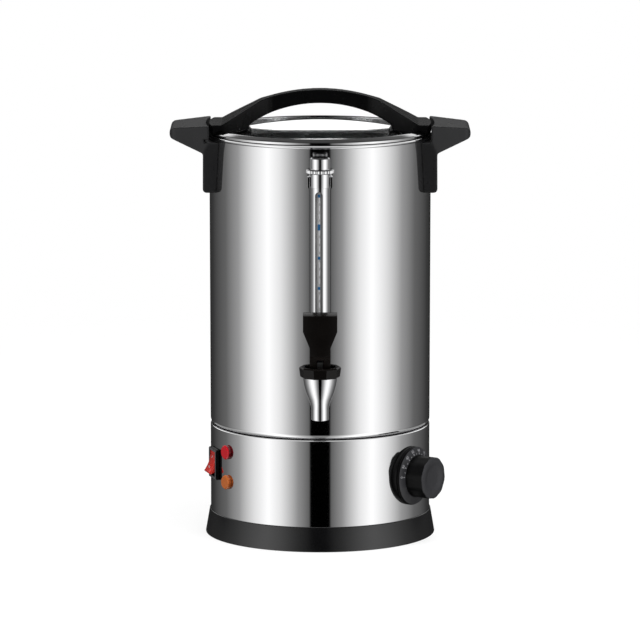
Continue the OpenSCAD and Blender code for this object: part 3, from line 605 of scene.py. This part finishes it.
def make_lid():
    """The steel ring round a domed glass, and the seal under the ring."""
    sleeve_low = 401
    seal_low, seal_web = 399, 400.3
    ring = rounded([
        (RING_R, RING_LOW), (RING_R, RING_LOW + 2.1, 0.7), (RING_R - 0.9, RING_LOW + 3, 0.6),
        (PLUG_R + 2.2, RING_TOP - 0.3, 1.2), (PLUG_R + 1.3, RING_TOP, 0.4),
        (PLUG_R + 0.3, RING_TOP - 0.5, 0.5), (PLUG_R, RING_TOP - 1.6, 0.4),
        (PLUG_R, sleeve_low), (PLUG_R + 0.8, sleeve_low), (PLUG_R + 0.8, RING_TOP - 1.7),
        (PLUG_R + 1.1, RING_TOP - 0.9), (PLUG_R + 1.9, RING_TOP - 1.1), (RING_R - 1.5, RING_LOW + 2.2),
        (RING_R - 1, RING_LOW + 1.9), (RING_R - 0.8, RING_LOW + 1.4), (RING_R - 0.8, RING_LOW)], 5)
    dress(lathe("lid_rim", ring, 256, 45), "lid_ring")

    centre_z = DOME_TOP - DOME_R
    rim_r = PLUG_R - 0.5
    inner_dome = DOME_R - GLASS_T
    outer_rim = math.degrees(math.acos(rim_r / DOME_R))
    inner_rim = math.degrees(math.acos(rim_r / inner_dome))
    profile = arc(0, centre_z, DOME_R, 90, outer_rim + 0.1, 20)
    profile += arc(0, centre_z, inner_dome, inner_rim + 0.1, 90, 20)
    dress(lathe("glass_dome", profile, 192, 50), "lid_glass", DOME_GLASS)

    seal = rounded([
        (PLUG_R + 0.3, seal_low, 0.5), (108.7, seal_low, 0.8), (108.3, RING_LOW - 0.6, 0.8),
        (PLUG_R + 2, RING_LOW - 0.6), (PLUG_R + 2, seal_web), (PLUG_R + 0.3, seal_web)])
    dress(lathe("lid_seal_ring", seal, 192), "lid_gasket")


# ---------- tap ----------

BELL = [(17, BONNET_Z), (16.8, 183), (16.3, 179.5), (15.4, 175.5), (14.1, 171), (12.5, 166.6),
        (10.8, 162.6), (9.5, 159), (8.9, 156.8), (NOZZLE_R, 155)]


def eased(points):
    """A Chaikin pass, which rounds a line's corners and keeps its ends."""
    line = [points[0]]
    for (x0, y0), (x1, y1) in zip(points, points[1:]):
        line.append((0.75 * x0 + 0.25 * x1, 0.75 * y0 + 0.25 * y1))
        line.append((0.25 * x0 + 0.75 * x1, 0.25 * y0 + 0.75 * y1))
    return line + [points[-1]]


def make_tap():
    """The body is a bell on a shank that comes out of the tank, with a riser for the gauge."""
    at_tap = moved(0, -TAP_Y, 0)
    bore_r = 6
    chamber_r = 13.5
    nozzle = rounded([
        (NOZZLE_R, 154), (NOZZLE_R, OUTLET_Z, 0.5), (bore_r, OUTLET_Z, 0.4), (bore_r, 165),
        (chamber_r, 176), (chamber_r, BONNET_Z)])
    bell = place(lathe("spout", eased(eased(BELL)) + nozzle[1:], 128, 40), at_tap)

    shank_r, thread_r, flange_r = 10, 8, 14
    shank_in, shank_out = 98, TAP_Y - 9
    shank = lathe("shank", rounded([
        (0, shank_out), (0, shank_in), (thread_r - 0.6, shank_in), (thread_r, shank_in + 0.6),
        (thread_r, 110), (12.6, 112), (flange_r, 112.6, 0.8), (flange_r, 115, 0.8), (10.6, 115.2, 0.8),
        (shank_r, 118, 1.5), (shank_r, shank_out)]), 96, 40)
    place(shank, Z_TO_FRONT, moved(0, 0, SHANK_Z))

    riser_r = 10.4
    riser = lathe("riser", rounded([
        (0, SHANK_Z), (riser_r, SHANK_Z), (riser_r, GUARD_LOW, 0.6), (GUARD_R, GUARD_LOW),
        (0, GUARD_LOW)]), 96, 40)
    place(riser, moved(0, -GAUGE_Y, 0))
    dress(weld(bell, shank, riser, sharp_deg=40), "tap_body")
    make_bonnet(at_tap)
    make_lever(at_tap)


def facetted(radius, z, sides, per_side, phase=0.0):
    """A loop of points on a regular polygon whose corners are at a radius."""
    count = sides * per_side
    loop = []
    for k in range(count):
        part = (k % per_side) / per_side * TAU / sides - math.pi / sides
        r = radius * math.cos(math.pi / sides) / math.cos(part)
        t = TAU * k / count + phase
        loop.append((r * math.cos(t), r * math.sin(t), z))
    return loop


def circle(radius, z, count):
    """A loop of points on a circle, from +X."""
    return [(radius * math.cos(TAU * k / count), radius * math.sin(TAU * k / count), z)
            for k in range(count)]


def make_bonnet(at_tap):
    """Ten-sided nut that flares upwards, with a chamfered rim round a sunk deck."""
    sides, per = 10, 6
    n = sides * per
    top = BONNET_Z + 10.5
    deck_low = DECK_Z - 3.5
    plug_low, plug_bore_r = 182, 10.5
    loops = [circle(STEM_HOLE_R, DECK_Z, n), circle(15.3, DECK_Z, n), circle(15.8, DECK_Z + 0.5, n),
             circle(15.8, top - 0.6, n), circle(16.4, top, n),
             facetted(19.4, top, sides, per), facetted(20.6, top - 1.2, sides, per),
             facetted(19.5, BONNET_Z + 0.9, sides, per), facetted(18.6, BONNET_Z, sides, per),
             circle(BONNET_SEAT_R, BONNET_Z, n), circle(BONNET_SEAT_R, plug_low, n),
             circle(plug_bore_r, plug_low, n), circle(plug_bore_r, deck_low, n),
             circle(STEM_HOLE_R, deck_low, n)]
    nut = loft("bonnet_nut", loops, False, 20)
    dress(place(nut, at_tap), "tap_bonnet")


def make_lever(at_tap):
    """The lever's width follows its front view, and its depth its side view."""
    cam_r, cam_y = 8.1, -3.0

    def between(z, table):
        """A value read from a short table of (height, value), on straight lines."""
        for (z0, v0), (z1, v1) in zip(table, table[1:]):
            if z <= z1:
                k = (z - z0) / (z1 - z0)
                return v0 + (v1 - v0) * max(0.0, k)
        return table[-1][1]

    def half_width(z):
        return between(z, [(-12, 10.2), (15.5, 10.2), (32, 16.8), (60, 16.8)])

    front_line = [(7.3, -6.5), (14, -6.7), (20, -7.5), (26, -8.5), (32, -9.1), (40, -9.4), (48, -9.6)]
    back_line = [(0, 5.0), (14, 5.0), (20, 4.6), (26, 3.6), (32, 2.8), (38, 2.7), (50, 3.2)]

    def reach(z):
        """Half of the round cam's depth at a height."""
        return math.sqrt(max(0.0, cam_r ** 2 - z ** 2))

    def front(z):
        return min(between(z, front_line), cam_y - reach(z)) if z < cam_r else between(z, front_line)

    def back(z):
        return cam_y + reach(z) if z < 0 else between(z, back_line)

    # heights of the rows: round the cam, then up the blade
    heights = [-cam_r * math.cos(math.radians(a)) for a in range(12, 91, 13)]
    heights += [2, 4.5, 6.2, 7.3, 10, 13, 15.5, 17.5, 20, 23, 26, 29, 32, 35, 39, 43, 46.5]
    loops = []
    for z in heights:
        w, f, b = half_width(z), front(z), back(z)
        loops.append([(-w, f, z), (w, f, z), (w, b, z), (-w, b, z)])
    w = half_width(50)
    loops.append([(-w, -9.6, 47.8), (w, -9.6, 47.8), (w, 3.2, 49.8), (-w, 3.2, 49.8)])
    blade = loft("lever_blade", loops)
    bevel(blade, 0.9, 3, 50)
    slot = box("slot", (-3.3, 3.3), (-20, 4), (-12, 4))
    cut(blade, slot, sharp_deg=28)
    dress(place(blade, at_tap @ moved(0, 0, PIN_Z)), "tap_lever")


# ---------- level gauge ----------

def tube(inner_r, outer_r, low, high):
    """Profile of a plain tube or rod."""
    return [(inner_r, low), (outer_r, low), (outer_r, high), (inner_r, high)]


def make_gauge():
    """A slotted guard round the sight glass, held by a sleeve, a bracket and a capped collar."""
    at_gauge = moved(0, -GAUGE_Y, 0)
    slot_turn = turned(SLOT_TURN, "Z")
    near, far = 3, 15
    guard = lathe("guard_tube", tube(GUARD_R - 0.9, GUARD_R, GUARD_LOW, GUARD_TOP), 128, 40)
    slot = box("slot", (-SLOT_W / 2, SLOT_W / 2), (-far, -near), (SLOT_LOW, SLOT_TOP))
    slot_end = lathe("slot_end", tube(0, SLOT_W / 2, near, far), 48)
    place(slot_end, Z_TO_FRONT, moved(0, 0, SLOT_TOP))
    cut(guard, place(slot, slot_turn), place(slot_end, slot_turn), sharp_deg=40)
    dress(place(guard, at_gauge), "gauge_guard")

    glass = lathe("sight_glass", tube(GLASS_R - 1.3, GLASS_R, GUARD_LOW + 0.2, GUARD_TOP), 64)
    dress(place(glass, at_gauge), "gauge_glass")

    sleeve = lathe("sleeve_ring", rounded([
        (SLEEVE_BORE_R, GUARD_TOP), (SLEEVE_R, GUARD_TOP, 0.4), (SLEEVE_R, COLLAR_Z),
        (SLEEVE_BORE_R, COLLAR_Z)]), 128, 40)
    stub = lathe("stub", tube(0, 4, 102, GAUGE_Y - 9), 48)
    place(stub, Z_TO_FRONT, moved(0, GAUGE_Y, GUARD_TOP + 5.5))
    dress(place(weld(sleeve, stub, sharp_deg=40), at_gauge), "gauge_sleeve")
    dress(softened("gauge_bracket", "bracket_ears", 0.7, 3), "gauge_bracket")
    make_collar(at_gauge)

    cap = lathe("gauge_top", rounded([
        (0, CAP_Z), (SLEEVE_R, CAP_Z), (SLEEVE_R, CAP_TOP - 1.3, 0.5), (SLEEVE_R - 1.3, CAP_TOP, 0.3),
        (0, CAP_TOP)], 6), 128, 40)
    dress(place(cap, at_gauge), "gauge_cap")
    make_gauge_marks(at_gauge @ slot_turn)


def make_collar(at_gauge):
    """A knurled ring with chamfered ends and a seat for the cap."""
    teeth, per = 30, 8
    count = teeth * per
    knurl_r, end_r, seat_r = 13.8, 12.4, 8.5
    chamfer = 0.9
    seat_z = COLLAR_Z + 3

    def knurled(z):
        """A loop with a round groove at every tooth."""
        loop = []
        for k in range(count):
            r = knurl_r - 0.45 * max(0.0, math.cos(TAU * k / per)) ** 2
            t = TAU * k / count
            loop.append((r * math.cos(t), r * math.sin(t), z))
        return loop

    collar = loft("knurled_collar", [
        circle(SLEEVE_BORE_R, COLLAR_Z, count), circle(end_r, COLLAR_Z, count),
        knurled(COLLAR_Z + chamfer), knurled(CAP_Z - chamfer), circle(end_r, CAP_Z, count),
        circle(seat_r, CAP_Z, count), circle(seat_r, seat_z, count),
        circle(SLEEVE_BORE_R, seat_z, count)], False, 30)
    dress(place(collar, at_gauge), "gauge_collar")


def make_gauge_marks(at_slot):
    """A narrow scale printed on the glass, with plain marks where the water may stand. Two films of one
    grey cover the glass: a lighter one on the left half as painted light and a darker one on the right
    half as painted shade.
    """

    def film(x0, x1, low, high, lift=0.1):
        """A thin patch on the glass's front, from x0 to x1."""
        inner_r = GLASS_R + 0.02
        start = math.asin(x0 / GLASS_R)
        end = math.asin(x1 / GLASS_R)
        angles = [start + (end - start) * k / 8 for k in range(9)]
        front = [((inner_r + lift) * math.sin(t), -(inner_r + lift) * math.cos(t)) for t in angles]
        back = [(inner_r * math.sin(t), -inner_r * math.cos(t)) for t in reversed(angles)]
        return prism("film", front + back, low, high)

    def printed(name, films, material):
        trim(place(join(name, films), at_slot), "base", material)

    strip_low, strip_high = 192, 366
    mark_rows = ((359.5, 3), (327, 6), (298, 3), (268, 3), (232, 3), (206, 4))
    # the left half lighter as painted light, the right half darker as painted shade
    printed("gauge_scale", [film(-4.4, 0.9, strip_low, strip_high)], STRIP)
    printed("gauge_backing", [film(0.9, 4.6, strip_low, strip_high)], SHADED_STRIP)
    printed("gauge_line", [film(-0.3, 0.8, z, z + 5.4, 0.15) for z in range(194, 362, 8)], PRINT)
    printed("gauge_marks", [film(-1.6, 0.9, z, z + h, 0.2) for z, h in mark_rows], BLUE_MARK)


# ---------- switch, lamps and dial ----------

def dish_x(z):
    """How far the rocker's dished face stands out from its pivot at a height."""
    return TIP_X - SAG * (1 - (z / TIP_Z) ** 2)


def make_switch():
    """A housing of one dark plastic, and the rocker that tilts in it. The bezel's faces that look out are
    grey as painted light; its sides and the well round the rocker are near-black as painted shade.
    """
    at_switch = at_wall(SWITCH_A, SWITCH_Z)
    back_x, well_x = 92, 99

    def section(x, half_y, half_z, radius):
        return [(x, y, z) for y, z in rounded_box(half_y, half_z, radius)]

    housing = loft("switch_bezel", [
        section(back_x, *SWITCH_HALF, 0.8), section(WALL_X, *SWITCH_HALF, 0.8),
        section(WALL_X, 12.75, 15.5, 1.2), section(BEZEL_X - 0.9, 12.6, 15.35, 1.2),
        section(BEZEL_X - 0.2, 12.2, 14.9, 1.1), section(BEZEL_X, 11.7, 14.4, 1.0),
        section(BEZEL_X, 9.9, 12.9, 0.6), section(BEZEL_X - 0.4, 9.6, 12.6, 0.5),
        section(well_x, 9.6, 12.6, 0.5)], True, 30)
    # lighter grey on the faces that look out as painted light, near-black elsewhere as painted shade
    grey = picked(housing, lambda face: face.normal.x > 0.6 and face.center.x > (BEZEL_X - 1) * MM)
    dress(place(housing, at_switch), "switch_housing", DIAL_BLACK)
    two_tone(housing, BEZEL_GREY, grey)

    # the rocker's side view is drawn in X and Y, and turned up to stand in X and Z
    tilted = at_switch @ moved(PIVOT_X, 0, 0) @ turned(ROCKER_TILT, "Y")
    dish = [(dish_x(TIP_Z * k / 6), TIP_Z * k / 6) for k in range(-5, 6)]
    side = [(-3, -5), (4, -11.9), (TIP_X, -TIP_Z), *dish, (TIP_X, TIP_Z), (4, 11.9), (-3, 5)]
    rocker = prism("rocker_cap", side, -ROCKER_HALF_W, ROCKER_HALF_W)
    bevel(rocker, 0.5, 3, 40)
    dress(place(rocker, tilted @ turned(90, "X")), "switch_rocker", RED)
    make_rocker_marks(tilted)


def make_rocker_marks(tilted):
    """A plain bar and ring printed on the rocker's two ends."""
    thick = 0.12
    bar = box("bar", (-0.35, 0.35), (-2.2, 2.2), (0, thick))
    ring = lathe("ring", tube(1.7, 2.3, 0, thick), 40)
    marks = []
    for mark, z, lean in ((bar, 6.2, 8), (ring, -6.2, -8)):
        facing = turned(-lean, "Y") @ Z_TO_X @ turned(90, "Z")
        marks.append(place(mark, moved(dish_x(z) + 0.02, 0, z) @ facing))
    trim(place(join("rocker_marks", marks), tilted), "rocker", PRINT)


def make_lamp_lens(lamp, face_material, shaded_material):
    """A twelve-sided jewel whose front face has the lens colour and whose side facets get a darker copy of
    it as painted shade.
    """
    sizes = ((7.2, 0), (7.3, 2.6), (6.5, 3.5), (6.2, 3.7))
    jewel = loft(f"{lamp}_jewel", [facetted(r, z, LAMP_SIDES, 1) for r, z in sizes], True, 5)
    front = picked(jewel, lambda face: face.normal.z > 0.6)
    lay = at_wall(LAMP_A, LAMP_Z[lamp]) @ moved(WALL_X, 0, 0) @ Z_TO_X
    # the side facets get the darker copy as painted shade, the front face the lens colour
    dress(place(jewel, lay), f"{lamp}_lamp_lens", shaded_material)
    two_tone(jewel, face_material, front)


def make_dial():
    """A knob with ten flats on a sloping plate, of one dark plastic. The plate's face and the knob's end
    are grey as painted light, and the plate's edge and the knob's flats near-black as painted shade.
    """
    plate = lathe("dial_plate", rounded([
        (SHAFT_R, 0), (DIAL_R - 0.3, 0, 0.2), (DIAL_R, 0.9, 0.3), (DIAL_R - 0.7, PLATE_EDGE, 0.5),
        (KNOB_R, PLATE_TOP), (KNOB_R - 2, PLATE_TOP), (SHAFT_R, PLATE_TOP)]), 160, 30)

    flats, per = 10, 8
    n = flats * per
    corner_r = KNOB_R + 0.55
    knob_low, socket_top = 5.0, 18

    def grip(radius, z):
        """A loop with ten flats whose corners are rounded to a circle."""
        loop = []
        for x, y, _ in facetted(radius * corner_r / KNOB_R, z, flats, per, math.radians(9)):
            inwards = min(1.0, radius / math.hypot(x, y))
            loop.append((inwards * x, inwards * y, z))
        return loop

    hollow = [(15.4, 0), (14.6, 0.15), (12.2, 0.9), (9.6, 1.5), (8.6, 1.6), (0.01, 1.6)]
    loops = [circle(SHAFT_R, knob_low, n), grip(KNOB_R, knob_low), grip(KNOB_R, KNOB_H - 1.0),
             grip(KNOB_R - 0.35, KNOB_H - 0.3), grip(KNOB_R - 1.1, KNOB_H)]
    loops += [circle(r, KNOB_H - depth, n) for r, depth in hollow]
    loops += [circle(0.01, socket_top, n), circle(SHAFT_R, socket_top, n)]
    weld(plate, loft("dial_grip", loops, False, 25), sharp_deg=25)
    plate.name = "dial"

    # the faces that look out get the lighter grey as painted light, the rest the near-black as painted
    # shade
    def is_grey(face):
        r, z = math.hypot(face.center.x, face.center.y) / MM, face.center.z / MM
        return z > KNOB_H - 1.8 or (r > KNOB_R and face.normal.z > 0.7)

    grey = picked(plate, is_grey)
    lay = at_wall(DIAL_A, DIAL_Z) @ moved(SKIRT_X, 0, 0) @ Z_TO_X
    dress(place(plate, lay), "dial_knob", DIAL_BLACK)
    two_tone(plate, DIAL_GREY, grey)
    make_dial_marks(lay)
    dress(softened("dial_collar", "dial_bezel", 0.25), "dial_collar", DIAL_BLACK)


def make_number(label, size):
    """A printed number that lies in the plane of X and Y."""
    curve = bpy.data.curves.new("number", "FONT")
    curve.body = label
    curve.size = size * MM
    curve.align_x = "CENTER"
    curve.align_y = "CENTER"
    curve.extrude = 0.06 * MM
    curve.offset = 0.02 * MM
    text = link("number", curve)
    graph = bpy.context.evaluated_depsgraph_get()
    mesh = bpy.data.meshes.new_from_object(text.evaluated_get(graph))
    bpy.data.objects.remove(text)
    return link("number", mesh)


def make_dial_marks(lay):
    """Plain numbers and ticks on the dial's sloping face, from 0 on the left, clockwise."""
    labels = ["0", "30", "40", "50", "60", "70", "80", "90", "100", "110"]
    step = 24.0
    start = 175.0
    tick_r, number_r, number_size = 22.1, 25.8, 3.9
    fall = (PLATE_TOP - PLATE_EDGE) / (DIAL_R - 0.7 - KNOB_R)
    lean = math.degrees(math.atan(fall))

    def on_face(r):
        return PLATE_TOP - fall * (r - KNOB_R) + 0.05

    marks = []
    for i in range(2 * len(labels) - 1):
        half = 0.85 if i % 2 == 0 else 0.5
        r = tick_r + half
        tick = box("tick", (-half, half), (-0.36, 0.36), (-0.15, 0.03))
        turn = turned(start + 90 - 0.5 * i * step, "Z")
        marks.append(place(tick, turned(lean, "Y"), moved(r, 0, on_face(r)), turn))
    for i, label in enumerate(labels):
        number = make_number(label, number_size)
        turn = turned(start - i * step, "Z")
        marks.append(place(number, turned(-lean, "X"), moved(0, number_r, on_face(number_r)), turn))
    trim(place(join("dial_scale", marks), lay), "dial", DIAL_PRINT)


# ---------- power inlet ----------

def make_inlet():
    dress(softened("power_inlet", "inlet_socket", 0.4), "power_inlet", SOCKET_BLACK)


# ---------- studio ----------

def make_camera():
    """A long lens that looks slightly down at the tap."""
    distance, height, down_deg = 5, 0.9945, 8.85
    focal_px = 4999.1
    frame_px = 640
    centre_px = 319.6
    data = bpy.data.cameras.new("camera")
    data.sensor_width = 36
    data.lens = focal_px / frame_px * data.sensor_width
    data.shift_x = (frame_px / 2 - centre_px - 0.5) / frame_px
    data.shift_y = 0.5 / frame_px
    camera = bpy.data.objects.new("camera", data)
    camera.location = (0, -distance, height)
    camera.rotation_euler = (math.radians(90 - down_deg), 0, 0)
    bpy.context.scene.collection.objects.link(camera)
    bpy.context.scene.camera = camera


class Graph:
    """Short calls for building a node tree of numbers."""

    def __init__(self, tree):
        self.tree = tree

    def node(self, kind, **settings):
        made = self.tree.nodes.new(kind)
        for name, value in settings.items():
            setattr(made, name, value)
        return made

    def put(self, value, socket):
        """Links another node's output to a socket, or sets the socket to a number."""
        if hasattr(value, "is_output"):
            self.tree.links.new(value, socket)
        else:
            socket.default_value = value

    def math(self, operation, a, b=0.0):
        made = self.node("ShaderNodeMath", operation=operation)
        self.put(a, made.inputs[0])
        self.put(b, made.inputs[1])
        return made.outputs[0]

    def step(self, value, low, high, to_low=0.0, to_high=1.0):
        """Rises smoothly from to_low to to_high as the value goes from low to high."""
        made = self.node("ShaderNodeMapRange", interpolation_type="SMOOTHSTEP")
        for number, socket in zip((value, low, high, to_low, to_high), made.inputs):
            self.put(number, socket)
        return made.outputs[0]

    def mix(self, factor, a, b):
        """Goes from a to b as the factor goes from 0 to 1."""
        return self.math("ADD", self.math("MULTIPLY", a, self.math("SUBTRACT", 1.0, factor)),
                         self.math("MULTIPLY", b, factor))

    def ramp(self, value, stops):
        """A level read from (position, level) stops, on straight lines."""
        made = self.node("ShaderNodeValToRGB")
        ramp = made.color_ramp
        ramp.interpolation = "LINEAR"
        for position, _ in stops[1:-1]:
            ramp.elements.new(position)
        for element, (position, level) in zip(ramp.elements, stops):
            element.position = position
            element.color = (level, level, level, 1)
        self.put(value, made.inputs[0])
        return made.outputs[0]


def make_world():
    """White to the camera and through glass. Polished metal sees a studio: a narrow black card in
    front, a broad soft box either side, and a dark rear with one white band above the horizon."""
    world = bpy.data.worlds.new("studio")
    bpy.context.scene.world = world
    world.use_nodes = True
    tree = world.node_tree
    tree.nodes.clear()
    g = Graph(tree)
    direction = g.node("ShaderNodeTexCoord").outputs["Generated"]
    parts = g.node("ShaderNodeSeparateXYZ")
    g.put(direction, parts.inputs[0])
    x, y, z = parts.outputs
    # 0 in front (-Y), 1 at the rear
    turn = g.math("DIVIDE", g.math("ARCTAN2", g.math("ABSOLUTE", x), g.math("MULTIPLY", y, -1.0)), math.pi)

    def share(degrees):
        """Degrees from the front, as a share of the half turn to the rear."""
        return degrees / 180

    wall = g.ramp(turn, [
        (0.0, 0.0), (share(10.2), 0.0), (share(11.3), 0.14), (share(23), 0.34), (share(31), 0.62),
        (share(42), 1.0), (share(56), 1.31), (share(73), 0.95), (share(95), 0.38), (share(117), 0.15),
        (share(150), 0.045), (1.0, 0.01)])
    # below the horizon: the sides, and a dark floor at the rear
    rear_floor = 0.08
    rear_low = g.math("MULTIPLY", g.step(turn, share(120), share(160)), g.step(z, -0.28, -0.22, 1.0, 0.0))
    low = g.mix(rear_low, wall, rear_floor)
    # above it: sides that fade upwards, the white band at the rear, and a dark ceiling
    ceiling = 0.05
    rear_wall = g.math("MULTIPLY", g.step(z, 0.17, 0.42, 0.06, 0.9), g.step(z, 0.44, 0.54, 1.0, 0.13))
    side_sky = g.math("MULTIPLY", wall, g.step(z, 0.22, 0.5, 1.0, 0.08))
    high = g.mix(g.step(turn, share(95), share(130)), side_sky, rear_wall)
    high = g.mix(g.step(z, 0.55, 0.9), high, ceiling)
    studio = g.mix(g.step(z, -0.03, 0.03), low, high)

    rays = g.node("ShaderNodeLightPath")
    # what one bright piece shows of another is fainter, as on real polished steel
    studio = g.math("MULTIPLY", studio, g.step(rays.outputs["Glossy Depth"], 1.2, 1.8, 1.0, 0.3))
    plain = 0.55
    lit = g.mix(rays.outputs["Is Glossy Ray"], plain, studio)
    seen = g.math("MAXIMUM", rays.outputs["Is Camera Ray"], rays.outputs["Is Transmission Ray"])
    level = g.mix(seen, lit, 1.0)
    background = g.node("ShaderNodeBackground")
    g.put(level, background.inputs["Color"])
    out = g.node("ShaderNodeOutputWorld")
    tree.links.new(background.outputs[0], out.inputs["Surface"])


def make_light(name, location, size, power):
    """A round soft light that points at the urn's middle and isn't seen in the metal."""
    data = bpy.data.lights.new(name, "AREA")
    data.shape = "DISK"
    data.size = size
    data.energy = power
    light = bpy.data.objects.new(name, data)
    light.location = location
    light.rotation_euler = (Vector((0, 0, 0.2)) - light.location).to_track_quat("-Z", "Y").to_euler()
    light.visible_glossy = False
    light.visible_camera = False
    bpy.context.scene.collection.objects.link(light)


def make_screen(name, pieces, place_at, size, radiance):
    """A white screen in metres that lights only some bright pieces."""
    lit = bpy.data.collections.new(name)
    for piece in pieces:
        lit.objects.link(bpy.data.objects[piece])
    data = bpy.data.lights.new(name, "AREA")
    data.shape = "RECTANGLE"
    data.size, data.size_y = size
    data.energy = size[0] * size[1] * math.pi * radiance
    screen = bpy.data.objects.new(name, data)
    screen.matrix_world = place_at
    screen.visible_camera = False
    screen.light_linking.receiver_collection = lit
    bpy.context.scene.collection.objects.link(screen)


def make_screens():
    """Tall ones beside the gauge, one behind for the glass dome, one on the floor for the turned
    lower edge of the tank, and one above for the top edge of the skirt and the rim of the tank."""
    gauge = ["bracket_ears", "knurled_collar"]
    for side in (-1, 1):
        beside = Matrix.Translation((0.8 * side, 0.115, 0.1)) @ turned(90 * side, "Z") @ turned(90, "X")
        make_screen("side_screen", gauge, beside, (0.63, 1.4), 0.6)
    behind = Matrix.Translation((0, 1.5, 1.1)) @ turned(180, "Z") @ turned(90, "X")
    make_screen("rear_screen", ["glass_dome"], behind, (3.0, 1.3), 1.25)
    below = Matrix.Translation((0, 0, 0.002)) @ turned(180, "X")
    make_screen("floor_screen", ["tank_wall"], below, (0.6, 0.6), 0.25)
    above = Matrix.Translation((0, 0, 1.3))
    make_screen("top_screen", ["steel_skirt", "tank_wall"], above, (9.0, 9.0), 0.7)


def make_floor():
    """A pale round floor that fades into the white background, takes a faint shadow, and is clear
    from below."""
    radius = 1.6
    mesh = bpy.data.meshes.new("floor")
    rim = [(radius * math.cos(TAU * k / 96), radius * math.sin(TAU * k / 96), 0) for k in range(96)]
    mesh.from_pydata(rim, [], [tuple(range(96))])
    floor = link("floor", mesh)
    floor.visible_glossy = False
    material = bpy.data.materials.new("pale_floor")
    material.use_nodes = True
    tree = material.node_tree
    tree.nodes.clear()
    g = Graph(tree)
    paint = g.node("ShaderNodeBsdfDiffuse")
    paint.inputs["Color"].default_value = (0.3, 0.3, 0.3, 1)
    glow = g.node("ShaderNodeEmission")
    rays = g.node("ShaderNodeLightPath")
    g.put(g.math("MULTIPLY", rays.outputs["Is Camera Ray"], 0.78), glow.inputs["Strength"])
    both = g.node("ShaderNodeAddShader")
    tree.links.new(paint.outputs[0], both.inputs[0])
    tree.links.new(glow.outputs[0], both.inputs[1])
    place_on = g.node("ShaderNodeTexCoord").outputs["Object"]
    away = g.node("ShaderNodeVectorMath", operation="LENGTH")
    g.put(place_on, away.inputs[0])
    clear = g.node("ShaderNodeBsdfTransparent")
    fade = g.node("ShaderNodeMixShader")
    from_below = g.node("ShaderNodeNewGeometry").outputs["Backfacing"]
    g.put(g.math("MAXIMUM", g.step(away.outputs["Value"], 0.5, 1.5), from_below), fade.inputs["Fac"])
    tree.links.new(both.outputs[0], fade.inputs[1])
    tree.links.new(clear.outputs[0], fade.inputs[2])
    out = g.node("ShaderNodeOutputMaterial")
    tree.links.new(fade.outputs[0], out.inputs["Surface"])
    floor.data.materials.append(material)


def make_studio():
    make_camera()
    make_world()
    make_light("top_light", (0.3, -0.6, 2.4), 1.6, 26)
    make_light("left_light", (-2.2, -1.6, 1.4), 1.4, 16)
    make_light("right_light", (2.2, -1.6, 1.4), 1.4, 16)
    make_floor()
    bpy.context.scene.view_settings.view_transform = "Standard"


make_studio()
dress_nodes()
make_tank()
make_skirt()
make_base()
make_handles()
make_lid()
make_tap()
make_gauge()
make_switch()
make_lamp_lens("heat", RED_LENS, RED_LENS_SHADED)
make_lamp_lens("warm", AMBER_LENS, AMBER_LENS_SHADED)
make_dial()
make_inlet()
make_screens()
